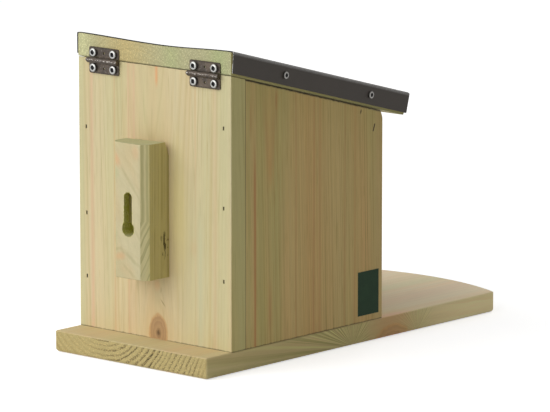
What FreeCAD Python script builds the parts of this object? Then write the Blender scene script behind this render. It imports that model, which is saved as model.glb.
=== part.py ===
import FreeCAD, Part
import math
import os

# Wooden squirrel feeder box. Four pine boards stand on a longer base board, a
# clear window slides in grooves at the front, and a sloped lid under a folded
# steel sheet swings back on two small butt hinges. A keyhole block on the back
# hangs the box on a wall screw. All sizes are in millimetres. +Z is up, the
# front faces -Y, left and right are as seen from the front, and the origin is
# the centre of the base board's underside.

# Base board
BASE_LENGTH = 391.3
BASE_THICKNESS = 18.0
NOSE_RISE = 18.3            # how far the curved front edge swells past its corners
NOSE_CORNER = 3.0           # rounding where the curve meets the straight sides
NOSE_ROUND = 3.0            # rounding under the curved front edge
REAR_CORNER = 1.5           # rounding of the upright rear edges

# Box on the base
BOX_WIDTH = 171.6
BOX_DEPTH = 192.4           # back panel's rear face to the side panels' front edges
BACK_HEIGHT = 229.1         # back panel, base top to its high rear edge
WALL = 17.0                 # back and side boards
REAR_LEDGE = 30.5           # the base stands this far behind the back panel
ROOF_SLOPE = 15.0           # degrees, falling to the front
CORNER_CUT_BACK = 4.6       # side panels' front top corner, trimmed back
CORNER_CUT_DOWN = 9.0

# Clear window in its grooves
WINDOW_THICKNESS = 3.0
WINDOW_HEIGHT = 161.0
WINDOW_CORNER = 3.0
WINDOW_INSET = 13.0         # groove centre behind the side panels' front edges
GROOVE_DEPTH = 6.0
GROOVE_CLEAR = 0.3          # play on each face of the window and at its ends

# Staples that stop the window from sliding up
STAPLE_CROWN = 6.6
STAPLE_LEG = 15.5
STAPLE_WIRE = 1.2
STAPLE_LEAN = 20.0          # degrees off upright, the top nearer the front
STAPLE_ABOVE_WINDOW = 0.5

# Lid board and folded roof sheet
LID_GAP = 0.5               # between the box's sloped top and the lid
LID_THICKNESS = 19.0
LID_LENGTH = 225.6          # along the slope, on the underside
SHEET = 0.7
SHEET_BEND = 1.8            # outside radius of the folds
FLANGE_SHOW = 2.0           # board left uncovered below the flanges
SHEET_SIDE_CLEAR = 0.2
SHEET_FRONT_CLEAR = 1.7     # between the board's front end and the front fold
SHEET_CORNER_SLIT = 0.5
SHEET_REAR_TOP = 2.5        # rear edge set back from the board's end, at the top
SHEET_REAR_BOTTOM = 0.6     # and at the foot of the flanges

# Butt hinges
HINGE_LENGTH = 33.5
HINGE_OPEN = 22.0           # across both leaves, laid flat
HINGE_INSET = 29.2          # hinge centres in from the box's sides, before their shift
HINGE_SHIFT = 1.2           # both hinges sit this far towards the left side
LEAF = 1.15
PIN_DIAMETER = 2.5
PIN_PLAY = 0.05             # all round the pin, inside the knuckles
PIN_HEAD = 2.0              # bevelled head past the last knuckle
PIN_HEAD_DIAMETER = 3.6
PIN_BELOW_SEAM = 1.8        # pin centre under the lid's lower rear edge
KNUCKLE_GAP = 0.25
ROLL_END = 112.0            # degrees that the rolled edge goes on past the pin's far side
LEAF_CORNER = 1.6
LEAF_EYE = 2.0              # small hole in the middle of each leaf
HINGE_SCREW_SPACING = 22.5
HINGE_SCREW_RISE = 6.4      # screw centres from the pin centre

# Screws: head diameter, head height, shank diameter, length under the head
HINGE_SCREW = (7.0, 2.4, 3.0, 13.0)
ROOF_SCREW = (6.0, 1.9, 3.0, 14.0)
LONG_SCREW = (7.6, 2.4, 3.8, 33.0)
SCREW_FLATS = 16            # round each screw and the hole that it sits in
HEAD_RIM = 0.45             # upright rim of a pan head, as a share of its height
HEAD_TOP = 0.64             # flat top of a pan head, as a share of its width
RECESS_WIDTH = 0.54         # cross recess, as shares of the head's width and height
RECESS_ARM = 0.14
RECESS_DEPTH = 0.6
HOLE_CLEAR = 0.05           # round every shank
HEAD_SINK = 0.3             # countersunk heads below the face

# T-headed brads
BRAD_WIDTH = 1.5
BRAD_HEAD = 3.2
BRAD_HEAD_DEPTH = 1.2
BRAD_SHANK = 1.6
BRAD_LENGTH = 38.0
BRAD_SINK = 0.5             # heads below the face

# Places of the fasteners
ROOF_SCREW_PLACES = (64.9, 177.0)            # along the slope from the hinge end
ROOF_SCREW_BELOW_TOP = 8.7                   # below the lid board's top face
BRADS_RIGHT = (43.3, 97.3, 170.4)            # heights above the base
BRADS_LEFT = (58.2, 119.1, 185.3)
SIDE_BRAD_INSET = 30.0                       # under the side panels, from their ends
BACK_BRAD_INSET = 45.5                       # under the back panel, from its ends
BLOCK_SCREW_INSET = 18.0                     # from the block's ends

# Keyhole block
BLOCK_WIDTH = 38.6
BLOCK_DEPTH = 28.9          # from the back panel to the face with the keyhole
BLOCK_HEIGHT = 113.5
BLOCK_ABOVE_BASE = 54.4
BLOCK_SHIFT = 2.8           # off the box's middle, towards the right side
BLOCK_CHAMFER = 5.5
BLOCK_WANE_LEFT = 4.7       # bark-side cut into the top against the panel, at the left side
BLOCK_WANE_RIGHT = 9.9      # and at the right
BLOCK_WANE_LENGTH = 12.0    # down the left side
KEYHOLE_ENTRY = 13.2        # diameter of the round entry
KEYHOLE_SLOT = 8.8
KEYHOLE_RISE = 26.1         # entry centre to slot end centre
KEYHOLE_ABOVE_BLOCK_FOOT = 42.0
KEYHOLE_LIP = 6.0           # wood left in front of the undercut
KEYHOLE_UNDERCUT = 6.0

# Label
LABEL_WIDTH = 26.8
LABEL_HEIGHT = 37.8
LABEL_THICKNESS = 0.25
LABEL_FROM_FRONT = 6.4
LABEL_ABOVE_BASE = 5.7

# Eased edges of the planed boards
EASE = 0.9
BASE_CHAMFER = 0.7
FRONT_ROUND = 3.0

# Places worked out from the sizes above
HALF_WIDTH = BOX_WIDTH / 2
BASE_REAR = BASE_LENGTH / 2
BASE_FRONT = -BASE_LENGTH / 2
BACK_REAR = BASE_REAR - REAR_LEDGE
BACK_FRONT = BACK_REAR - WALL
SIDE_FRONT = BACK_REAR - BOX_DEPTH
INNER_HALF = HALF_WIDTH - WALL
HINGE_OFFSET = HALF_WIDTH - HINGE_INSET
SLOPE = math.radians(ROOF_SLOPE)
LID_SEAM_Z = BASE_THICKNESS + BACK_HEIGHT + LID_GAP
GROOVE_CENTRE = SIDE_FRONT + WINDOW_INSET
WINDOW_TOP = BASE_THICKNESS + WINDOW_HEIGHT
KNUCKLE = PIN_DIAMETER / 2 + PIN_PLAY + LEAF
PIN_Y = BACK_REAR + KNUCKLE
PIN_Z = LID_SEAM_Z - PIN_BELOW_SEAM
BLOCK_FOOT = BASE_THICKNESS + BLOCK_ABOVE_BASE
BLOCK_REAR = BACK_REAR + BLOCK_DEPTH
SHEET_HALF = HALF_WIDTH + SHEET_SIDE_CLEAR + SHEET
SHEET_TOP = LID_THICKNESS + SHEET
SHEET_FRONT = LID_LENGTH + SHEET_FRONT_CLEAR + SHEET

V = FreeCAD.Vector
X = V(1, 0, 0)
Y = V(0, 1, 0)
Z = V(0, 0, 1)


def prism(outline, sweep):
    """Straight prism: a closed outline of corner points swept along a vector."""
    wire = Part.makePolygon([*outline, outline[0]])
    return Part.Face(wire).extrude(sweep)


def block(low, high):
    """Rectangular block between two opposite corners."""
    size = V(*high) - V(*low)
    return Part.makeBox(size.x, size.y, size.z, V(*low))


def rod(radius, start, end):
    """Round rod between two points."""
    axis = end - start
    return Part.makeCylinder(radius, axis.Length, start, axis)


def edges_where(solid, wanted):
    """Edges whose two end points pass a test."""
    edges = []
    for edge in solid.Edges:
        ends = [vertex.Point for vertex in edge.Vertexes]
        if len(ends) == 2 and wanted(*ends):
            edges.append(edge)
    return edges


def rounded(solid, radius, wanted):
    """The solid with the wanted edges rounded."""
    return solid.makeFillet(radius, edges_where(solid, wanted))


def near(a, b):
    """True where two lengths are the same."""
    return abs(a - b) < 1e-6


def placed(solid, point, direction):
    """A solid made along +Z, moved to a point and turned to a direction."""
    solid = solid.copy()
    solid.Placement = FreeCAD.Placement(point, FreeCAD.Rotation(Z, direction))
    return solid


def on_lid(solid):
    """A solid made in the lid's own frame, laid on the slope of the closed lid."""
    solid = solid.copy()
    turn = FreeCAD.Rotation(X, ROOF_SLOPE)
    solid.Placement = FreeCAD.Placement(V(0, BACK_REAR, LID_SEAM_Z), turn)
    return solid


def lid_point(x, along, above):
    """A point of the closed lid: along from the hinge end, above the underside."""
    y = BACK_REAR - along * math.cos(SLOPE) - above * math.sin(SLOPE)
    z = LID_SEAM_Z - along * math.sin(SLOPE) + above * math.cos(SLOPE)
    return V(x, y, z)


def box_top(y):
    """Height of the box's sloped top edge at a depth."""
    return BASE_THICKNESS + BACK_HEIGHT - (BACK_REAR - y) * math.tan(SLOPE)


def turned(outline):
    """Solid of revolution about Z from a half outline of (radius, height) corners."""
    corners = [V(radius, 0, height) for radius, height in outline]
    return Part.Face(Part.makePolygon([*corners, corners[0]])).revolve(V(0, 0, 0), Z, 360)


def ring(radius, height):
    """Corners of a level regular polygon about Z, or its centre where the radius is nothing."""
    if radius == 0:
        return [V(0, 0, height)]
    turns = [2 * math.pi * index / SCREW_FLATS for index in range(SCREW_FLATS)]
    return [V(radius * math.cos(turn), radius * math.sin(turn), height) for turn in turns]


def flatted(outline):
    """Solid about Z with flats for sides, through rings of (radius, height) from the foot up."""
    rings = [ring(radius, height) for radius, height in outline]
    faces = []
    for lower, upper in zip(rings, rings[1:]):
        for index in range(SCREW_FLATS):
            after = (index + 1) % SCREW_FLATS
            corners = [upper[index % len(upper)], lower[index % len(lower)]]
            if len(lower) > 1:
                corners.append(lower[after])
            if len(upper) > 1:
                corners.append(upper[after])
            faces.append(Part.Face(Part.makePolygon([*corners, corners[0]])))
    for end in (rings[0], rings[-1]):
        if len(end) > 1:
            faces.append(Part.Face(Part.makePolygon([*end, end[0]])))
    shell = Part.makeShell(faces)
    shell.sewShape()
    solid = Part.makeSolid(shell)
    if solid.Volume < 0:
        solid.reverse()
    return solid


def cross_recess(width, depth, top):
    """Cross for a screwdriver, sunk from the top of a head."""
    reach = width * RECESS_WIDTH / 2
    arm = width * RECESS_ARM / 2
    bars = [
        block((-reach, -arm, top - depth), (reach, arm, top + depth)),
        block((-arm, -reach, top - depth), (arm, reach, top + depth)),
    ]
    return bars[0].fuse(bars[1])


def pan_screw(sizes):
    """Pan-head wood screw: bevelled head above Z = 0, shank and point below."""
    head, height, shank, length = sizes
    screw = flatted([
        (0, -length), (shank / 2, shank - length), (shank / 2, 0),
        (head / 2, 0), (head / 2, height * HEAD_RIM), (head / 2 * HEAD_TOP, height),
    ])
    return screw.cut(cross_recess(head, height * RECESS_DEPTH, height))


def sunk_screw(sizes):
    """Countersunk wood screw: flat head HEAD_SINK below Z = 0, cone, shank and point."""
    head, height, shank, length = sizes
    foot = -HEAD_SINK - height
    screw = flatted([
        (0, foot - length), (shank / 2, foot + shank - length), (shank / 2, foot), (head / 2, -HEAD_SINK),
    ])
    return screw.cut(cross_recess(head, height * RECESS_DEPTH, -HEAD_SINK))


def brad(clear=0.0, top=-BRAD_SINK):
    """T-headed brad under a face at Z = 0; with a clearance and a higher top, its hole."""
    across = BRAD_WIDTH / 2 + clear
    head = BRAD_HEAD / 2 + clear
    shank = BRAD_SHANK / 2 + clear
    neck = -BRAD_SINK - BRAD_HEAD_DEPTH
    whole = block((-across, -head, neck), (across, head, top))
    whole = whole.fuse(block((-across, -shank, -BRAD_LENGTH - clear), (across, shank, neck)))
    return whole.removeSplitter()


def straight_hole(sizes, past_head):
    """Hole for a shank, from past its head down to just below its point."""
    shank, length = sizes[2:]
    radius = shank / 2 + HOLE_CLEAR
    return flatted([(radius, -length - HOLE_CLEAR), (radius, past_head)])


def sunk_hole(sizes):
    """Hole for a countersunk screw whose head sits below the face at Z = 0."""
    head, height, shank, length = sizes
    neck = shank / 2 + HOLE_CLEAR
    mouth = head / 2 + HOLE_CLEAR
    foot = -HEAD_SINK - height
    return flatted([
        (neck, foot - length - HOLE_CLEAR), (neck, foot), (mouth, -HEAD_SINK), (mouth, HEAD_SINK),
    ])


def brad_hole():
    """Hole for a brad, open past the face at Z = 0."""
    return brad(HOLE_CLEAR, BRAD_HEAD)


def base_brad_places():
    """Points under the base where brads run up into the panels."""
    x = HALF_WIDTH - WALL / 2
    places = []
    for side in (-1, 1):
        for y in (SIDE_FRONT + SIDE_BRAD_INSET, BACK_FRONT - SIDE_BRAD_INSET):
            places.append(V(side * x, y, 0))
        places.append(V(side * (HALF_WIDTH - BACK_BRAD_INSET), BACK_REAR - WALL / 2, 0))
    return places


def block_screw_places():
    """Points on the back panel's inner face where screws run out into the block."""
    heights = (BLOCK_FOOT + BLOCK_SCREW_INSET, BLOCK_FOOT + BLOCK_HEIGHT - BLOCK_SCREW_INSET)
    return [V(BLOCK_SHIFT, BACK_FRONT, z) for z in heights]


def brad_places():
    """Points on the back panel's rear face where brads run into the side panels."""
    x = HALF_WIDTH - WALL / 2
    places = [V(x, BACK_REAR, BASE_THICKNESS + height) for height in BRADS_RIGHT]
    places += [V(-x, BACK_REAR, BASE_THICKNESS + height) for height in BRADS_LEFT]
    return places


def hinge_centre(side):
    """Middle of the left or the right hinge, along its pin."""
    return side * HINGE_OFFSET - HINGE_SHIFT


def hinge_screw_places(rise):
    """Seats of the hinge screws on the leaves' faces, above or below the pin."""
    places = []
    for side in (-1, 1):
        for along in (-HINGE_SCREW_SPACING / 2, HINGE_SCREW_SPACING / 2):
            places.append(V(hinge_centre(side) + along, BACK_REAR + LEAF, PIN_Z + rise))
    return places


def roof_screw_places():
    """Seats of the roof screws on the flanges, with the way each head faces."""
    places = []
    for side in (-1, 1):
        for along in ROOF_SCREW_PLACES:
            seat = lid_point(side * SHEET_HALF, along, LID_THICKNESS - ROOF_SCREW_BELOW_TOP)
            places.append((seat, X * side))
    return places


def bored(solid, tool, places, direction):
    """The solid with the same hole cut at each place."""
    for place in places:
        solid = solid.cut(placed(tool, place, direction))
    return solid


def base_board():
    """Base board: straight sides, a shallow curved front edge rounded below, brad holes beneath."""
    corner = BASE_FRONT + NOSE_RISE
    right_rear = V(HALF_WIDTH, BASE_REAR, 0)
    left_rear = V(-HALF_WIDTH, BASE_REAR, 0)
    right_front = V(HALF_WIDTH, corner, 0)
    left_front = V(-HALF_WIDTH, corner, 0)
    apex = V(0, BASE_FRONT, 0)
    radius = (HALF_WIDTH ** 2 + NOSE_RISE ** 2) / (2 * NOSE_RISE)
    half_turn = math.asin(HALF_WIDTH / radius) / 2
    quarter = V(radius * math.sin(half_turn), BASE_FRONT + radius * (1 - math.cos(half_turn)), 0)
    wire = Part.Wire([
        Part.Arc(left_front, V(-quarter.x, quarter.y, 0), apex).toShape(),
        Part.Arc(apex, quarter, right_front).toShape(),
        Part.makeLine(right_front, right_rear),
        Part.makeLine(right_rear, left_rear),
        Part.makeLine(left_rear, left_front),
    ])
    board = Part.Face(wire).extrude(Z * BASE_THICKNESS)
    board = rounded(board, NOSE_CORNER, lambda a, b: near(a.y, corner) and near(b.y, corner)
                    and near(a.x, b.x))
    board = rounded(board, REAR_CORNER, lambda a, b: near(a.y, BASE_REAR) and near(b.y, BASE_REAR)
                    and near(a.x, b.x))
    nose = corner + NOSE_CORNER
    board = rounded(board, NOSE_ROUND, lambda a, b: near(a.z, 0) and near(b.z, 0)
                    and max(a.y, b.y) < nose)
    top_edges = edges_where(board, lambda a, b: near(a.z, BASE_THICKNESS) and near(a.z, b.z))
    board = board.makeChamfer(BASE_CHAMFER, top_edges)
    return bored(board, brad_hole(), base_brad_places(), -Z)


def back_panel():
    """Full-width back board with its top bevelled to the slope of the lid."""
    outline = [
        V(-HALF_WIDTH, BACK_REAR, BASE_THICKNESS),
        V(-HALF_WIDTH, BACK_FRONT, BASE_THICKNESS),
        V(-HALF_WIDTH, BACK_FRONT, box_top(BACK_FRONT)),
        V(-HALF_WIDTH, BACK_REAR, box_top(BACK_REAR)),
    ]
    board = prism(outline, X * BOX_WIDTH)
    board = rounded(board, EASE, lambda a, b: near(a.y, BACK_REAR) and near(b.y, BACK_REAR)
                    and near(a.x, b.x))
    board = bored(board, brad_hole(), brad_places(), Y)
    board = bored(board, straight_hole(HINGE_SCREW, LEAF), hinge_screw_places(-HINGE_SCREW_RISE), Y)
    board = bored(board, sunk_hole(LONG_SCREW), block_screw_places(), -Y)
    return bored(board, brad_hole(), [p for p in base_brad_places() if p.y > BACK_FRONT], -Z)


def staple(side):
    """Wire staple through a side panel, its legs crossing the groove above the window."""
    half = STAPLE_CROWN / 2
    outer = HALF_WIDTH
    tip = outer - STAPLE_LEG
    wire = STAPLE_WIRE
    outline = [
        V(outer, 0, -half), V(outer, 0, half), V(tip, 0, half), V(tip, 0, half - wire),
        V(outer - wire, 0, half - wire), V(outer - wire, 0, wire - half),
        V(tip, 0, wire - half), V(tip, 0, -half),
    ]
    piece = prism(outline, Y * wire)
    piece.translate(Y * (-wire / 2))
    piece.rotate(V(0, 0, 0), X, STAPLE_LEAN)
    reach = half * math.cos(math.radians(STAPLE_LEAN)) + wire / 2
    piece.translate(V(0, GROOVE_CENTRE, WINDOW_TOP + STAPLE_ABOVE_WINDOW + reach))
    return piece if side > 0 else piece.mirror(V(0, 0, 0), X)


def side_panel(side):
    """Side board with a sloped top, a rounded front edge and the window groove inside."""
    outline = [
        V(INNER_HALF, BACK_FRONT, BASE_THICKNESS),
        V(INNER_HALF, SIDE_FRONT, BASE_THICKNESS),
        V(INNER_HALF, SIDE_FRONT, box_top(SIDE_FRONT)),
        V(INNER_HALF, BACK_FRONT, box_top(BACK_FRONT)),
    ]
    board = prism(outline, X * WALL)
    board = rounded(board, FRONT_ROUND, lambda a, b: near(a.x, HALF_WIDTH) and near(a.y, SIDE_FRONT)
                    and near(a.y, b.y) and near(a.x, b.x))
    board = rounded(board, EASE, lambda a, b: near(a.x, INNER_HALF) and near(a.y, SIDE_FRONT)
                    and near(a.y, b.y) and near(a.x, b.x))
    top = box_top(SIDE_FRONT + CORNER_CUT_BACK)
    corner = [
        V(0, SIDE_FRONT, box_top(SIDE_FRONT) - CORNER_CUT_DOWN),
        V(0, SIDE_FRONT + CORNER_CUT_BACK, top),
        V(0, SIDE_FRONT + CORNER_CUT_BACK, top + BASE_THICKNESS),
        V(0, SIDE_FRONT - CORNER_CUT_BACK, top + BASE_THICKNESS),
        V(0, SIDE_FRONT - CORNER_CUT_BACK, box_top(SIDE_FRONT) - 2 * CORNER_CUT_DOWN),
    ]
    board = board.cut(prism(corner, X * BOX_WIDTH))
    half_groove = WINDOW_THICKNESS / 2 + GROOVE_CLEAR
    groove = block((0, GROOVE_CENTRE - half_groove, 0),
                   (INNER_HALF + GROOVE_DEPTH, GROOVE_CENTRE + half_groove, box_top(BACK_REAR)))
    board = board.cut(groove)
    board = board.cut(staple(1))
    if side < 0:
        board = board.mirror(V(0, 0, 0), X)
    board = bored(board, brad_hole(), [p for p in brad_places() if p.x * side > 0], Y)
    up_from_base = [p for p in base_brad_places() if p.x * side > 0 and p.y < BACK_FRONT]
    return bored(board, brad_hole(), up_from_base, -Z)


def front_window():
    """Clear sheet standing on the base between the side panels' grooves."""
    half = INNER_HALF + GROOVE_DEPTH - GROOVE_CLEAR
    front = GROOVE_CENTRE - WINDOW_THICKNESS / 2
    sheet = block((-half, front, BASE_THICKNESS), (half, front + WINDOW_THICKNESS, WINDOW_TOP))
    return rounded(sheet, WINDOW_CORNER, lambda a, b: near(a.z, WINDOW_TOP) and near(b.z, WINDOW_TOP)
                   and near(a.x, b.x))


def lid_board():
    """Lid board: plumb rear end for the hinges, square front end, sloped when shut."""
    rear_top = LID_THICKNESS * math.tan(SLOPE)
    outline = [
        V(-HALF_WIDTH, 0, 0),
        V(-HALF_WIDTH, rear_top, LID_THICKNESS),
        V(-HALF_WIDTH, -LID_LENGTH, LID_THICKNESS),
        V(-HALF_WIDTH, -LID_LENGTH, 0),
    ]
    board = prism(outline, X * BOX_WIDTH)
    board = rounded(board, EASE, lambda a, b: near(a.z, 0) and near(b.z, 0))
    board = rounded(board, SHEET_BEND, lambda a, b: near(a.z, LID_THICKNESS) and near(a.z, b.z)
                    and near(a.x, b.x))
    board = on_lid(board)
    board = bored(board, straight_hole(HINGE_SCREW, LEAF), hinge_screw_places(HINGE_SCREW_RISE), Y)
    for seat, way in roof_screw_places():
        board = board.cut(placed(straight_hole(ROOF_SCREW, SHEET), seat, way))
    return board


def sheet_bend(length):
    """Quarter fold of the sheet, along -Y from the origin, its centre below and to the left."""
    end = V(0, -length, 0)
    fold = rod(SHEET_BEND, V(0, 0, 0), end).cut(rod(SHEET_BEND - SHEET, V(0, 0, 0), end))
    return fold.common(block((0, -length, 0), (SHEET_BEND, 0, SHEET_BEND)))


def roof_sheet():
    """Folded steel sheet: flat top, a fold down each side and one at the front."""
    side_bend = SHEET_HALF - SHEET_BEND
    bend_foot = SHEET_TOP - SHEET_BEND
    front_bend = SHEET_FRONT - SHEET_BEND
    rear = LID_THICKNESS
    length = rear + SHEET_FRONT

    top = block((-side_bend, -front_bend, SHEET_TOP - SHEET), (side_bend, rear, SHEET_TOP))
    flange = block((SHEET_HALF - SHEET, -SHEET_FRONT, FLANGE_SHOW), (SHEET_HALF, rear, bend_foot))
    bend = sheet_bend(length)
    bend.translate(V(side_bend, rear, bend_foot))
    side = flange.fuse(bend)

    front_half = SHEET_HALF - SHEET - SHEET_CORNER_SLIT
    fold = block((-front_half, -SHEET_FRONT, FLANGE_SHOW), (front_half, SHEET - SHEET_FRONT, bend_foot))
    bend = sheet_bend(2 * front_half)
    bend.rotate(V(0, 0, 0), Z, -90)
    bend.translate(V(front_half, -front_bend, bend_foot))
    slit = block((front_half, -SHEET_FRONT, 0), (SHEET_HALF - SHEET, -front_bend, 2 * SHEET_TOP))
    side = side.cut(slit)
    tray = top.fuse([side, side.mirror(V(0, 0, 0), X), fold, bend]).removeSplitter()

    rear_foot = FLANGE_SHOW * math.tan(SLOPE) - SHEET_REAR_BOTTOM / math.cos(SLOPE)
    rear_top = SHEET_TOP * math.tan(SLOPE) - SHEET_REAR_TOP / math.cos(SLOPE)
    lean = (rear_top - rear_foot) / (SHEET_TOP - FLANGE_SHOW)
    past_rear = 2 * rear
    trim = prism([
        V(-SHEET_HALF, rear_foot, FLANGE_SHOW),
        V(-SHEET_HALF, rear_foot + 2 * lean * SHEET_TOP, FLANGE_SHOW + 2 * SHEET_TOP),
        V(-SHEET_HALF, past_rear, FLANGE_SHOW + 2 * SHEET_TOP),
        V(-SHEET_HALF, past_rear, FLANGE_SHOW),
    ], X * (2 * SHEET_HALF))
    tray = on_lid(tray.cut(trim))
    for seat, way in roof_screw_places():
        tray = tray.cut(placed(straight_hole(ROOF_SCREW, SHEET), seat, way))
    return tray


def leaf_section(way):
    """Section of a leaf with its rolled knuckle round the pin; way is -1 down, 1 up."""
    inner = PIN_DIAMETER / 2 + PIN_PLAY

    def at(radius, degrees):
        turn = math.radians(degrees)
        return V(0, PIN_Y - radius * math.cos(turn), PIN_Z - way * radius * math.sin(turn))

    def roll(radius):
        return [at(radius, turn) for turn in (0, 90, 180, 180 + ROLL_END / 2, 180 + ROLL_END)]

    out = roll(KNUCKLE)
    back = roll(inner)
    reach = Z * (way * HINGE_OPEN / 2)
    return Part.Face(Part.Wire([
        Part.makeLine(out[0] + reach, out[0]),
        Part.Arc(*out[:3]).toShape(),
        Part.Arc(*out[2:]).toShape(),
        Part.makeLine(out[4], back[4]),
        Part.Arc(*back[:1:-1]).toShape(),
        Part.Arc(*back[2::-1]).toShape(),
        Part.makeLine(back[0], back[0] + reach),
        Part.makeLine(back[0] + reach, out[0] + reach),
    ]))


def hinge_leaf(centre, way):
    """One leaf: flat plate with rounded corners, screw holes and rolled knuckles."""
    start = centre - HINGE_LENGTH / 2
    third = HINGE_LENGTH / 3
    own = (0, 2) if way < 0 else (1,)
    gap = KNUCKLE_GAP / 2
    flat_edge = PIN_Z + way * (KNUCKLE + KNUCKLE_GAP)
    far_edge = PIN_Z + way * HINGE_OPEN / 2
    low, high = sorted((flat_edge, far_edge))
    leaf = block((start, BACK_REAR, low), (start + HINGE_LENGTH, BACK_REAR + LEAF, high))
    leaf = rounded(leaf, LEAF_CORNER, lambda a, b: near(a.z, far_edge) and near(b.z, far_edge)
                   and near(a.x, b.x))
    lip = KNUCKLE + KNUCKLE_GAP + LEAF_CORNER / 2
    keep = block((start, BACK_REAR, PIN_Z - lip),
                 (start + HINGE_LENGTH, BACK_REAR + 2 * KNUCKLE, PIN_Z + lip))
    for index in own:
        first = start + index * third + (gap if index else 0)
        last = start + (index + 1) * third - (gap if index < 2 else 0)
        knuckle = leaf_section(way).extrude(X * (last - first))
        knuckle.translate(X * first)
        leaf = leaf.fuse(knuckle.common(keep))
    leaf = leaf.removeSplitter()
    for place in hinge_screw_places(way * HINGE_SCREW_RISE):
        if abs(place.x - centre) < HINGE_LENGTH / 2:
            leaf = leaf.cut(placed(straight_hole(HINGE_SCREW, LEAF), place, Y))
    eye = V(centre, BACK_REAR, PIN_Z + way * HINGE_SCREW_RISE)
    return leaf.cut(placed(flatted([(LEAF_EYE / 2, -LEAF), (LEAF_EYE / 2, 2 * LEAF)]), eye, Y))


def hinge_pin(centre):
    """Plain pin through the knuckles, with a bevelled head at its right end."""
    r = PIN_DIAMETER / 2
    head = PIN_HEAD_DIAMETER / 2
    seat = HINGE_LENGTH + KNUCKLE_GAP
    rim = seat + PIN_HEAD * HEAD_RIM
    end = seat + PIN_HEAD
    pin = turned([(0, 0), (r, 0), (r, seat), (head, seat), (head, rim), (head * HEAD_TOP, end), (0, end)])
    return placed(pin, V(centre - HINGE_LENGTH / 2, PIN_Y, PIN_Z), X)


def keyhole():
    """Undercut keyhole: round entry, narrower slot above it, wider pocket behind the lip."""
    mouth = V(BLOCK_SHIFT, BLOCK_REAR + KEYHOLE_LIP, BLOCK_FOOT + KEYHOLE_ABOVE_BLOCK_FOOT)
    lip_face = V(BLOCK_SHIFT, BLOCK_REAR - KEYHOLE_LIP, mouth.z)
    floor = lip_face - Y * KEYHOLE_UNDERCUT
    entry = KEYHOLE_ENTRY / 2
    slot = KEYHOLE_SLOT / 2
    rise = Z * KEYHOLE_RISE
    cut = rod(entry, floor, mouth)
    cut = cut.fuse(rod(slot, lip_face + rise, mouth + rise))
    neck = block((-slot, lip_face.y, mouth.z), (slot, mouth.y, mouth.z + KEYHOLE_RISE))
    neck.translate(X * mouth.x)
    cut = cut.fuse(neck)
    cut = cut.fuse(rod(entry, floor + rise, lip_face + rise))
    pocket = block((-entry, floor.y, mouth.z), (entry, lip_face.y, mouth.z + KEYHOLE_RISE))
    pocket.translate(X * mouth.x)
    return cut.fuse(pocket)


def hanging_block():
    """Keyhole block: chamfered rear edges, a waney top against the panel, the undercut keyhole."""
    half = BLOCK_WIDTH / 2
    outline = [
        V(-half, BACK_REAR, BLOCK_FOOT),
        V(half, BACK_REAR, BLOCK_FOOT),
        V(half, BLOCK_REAR - BLOCK_CHAMFER, BLOCK_FOOT),
        V(half - BLOCK_CHAMFER, BLOCK_REAR, BLOCK_FOOT),
        V(BLOCK_CHAMFER - half, BLOCK_REAR, BLOCK_FOOT),
        V(-half, BLOCK_REAR - BLOCK_CHAMFER, BLOCK_FOOT),
    ]
    body = prism(outline, Z * BLOCK_HEIGHT)
    top = BLOCK_FOOT + BLOCK_HEIGHT
    body = rounded(body, EASE, lambda a, b: near(a.z, b.z) and near(a.y, b.y) and near(a.y, BLOCK_REAR))
    left = [
        V(-half, BACK_REAR, top - BLOCK_WANE_LENGTH),
        V(-half, BACK_REAR + BLOCK_WANE_LEFT, top),
        V(-half, BACK_REAR, top),
    ]
    grown = BLOCK_WANE_RIGHT / BLOCK_WANE_LEFT
    right = [V(half, BACK_REAR + (p.y - BACK_REAR) * grown, top + (p.z - top) * grown) for p in left]
    sections = [Part.makePolygon([*corners, corners[0]]) for corners in (left, right)]
    wane = Part.makeLoft(sections, True, True)
    body = body.cut(wane)
    body.translate(X * BLOCK_SHIFT)
    body = body.cut(keyhole())
    return bored(body, sunk_hole(LONG_SCREW), block_screw_places(), -Y)


def label_sticker():
    """Plain label stuck low on the left side panel, near its front edge."""
    front = SIDE_FRONT + LABEL_FROM_FRONT
    low = BASE_THICKNESS + LABEL_ABOVE_BASE
    return block((-HALF_WIDTH - LABEL_THICKNESS, front, low),
                 (-HALF_WIDTH, front + LABEL_WIDTH, low + LABEL_HEIGHT))


def group(solid, places, direction):
    """Like fasteners at several places, kept as separate solids of one node."""
    return Part.makeCompound([placed(solid, place, direction) for place in places])


def build():
    """Every node of the feeder box, by name."""
    roof_screws = [placed(pan_screw(ROOF_SCREW), seat, way) for seat, way in roof_screw_places()]
    nodes = {
        "base_board": base_board(),
        "back_panel": back_panel(),
        "side_panel_left": side_panel(-1),
        "side_panel_right": side_panel(1),
        "front_window": front_window(),
        "window_staples": Part.makeCompound([staple(-1), staple(1)]),
        "hanging_block": hanging_block(),
        "lid_board": lid_board(),
        "roof_sheet": roof_sheet(),
        "roof_screws": Part.makeCompound(roof_screws),
        "hinge_screws_lid": group(pan_screw(HINGE_SCREW), hinge_screw_places(HINGE_SCREW_RISE), Y),
        "hinge_screws_box": group(pan_screw(HINGE_SCREW), hinge_screw_places(-HINGE_SCREW_RISE), Y),
        "back_panel_brads": group(brad(), brad_places(), Y),
        "base_brads": group(brad(), base_brad_places(), -Z),
        "hanging_block_screws": group(sunk_screw(LONG_SCREW), block_screw_places(), -Y),
        "label_sticker": label_sticker(),
    }
    for name, side in (("left", -1), ("right", 1)):
        centre = hinge_centre(side)
        nodes[f"hinge_{name}_box_leaf"] = hinge_leaf(centre, -1)
        nodes[f"hinge_{name}_lid_leaf"] = hinge_leaf(centre, 1)
        nodes[f"hinge_{name}_pin"] = hinge_pin(centre)
    return nodes


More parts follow.
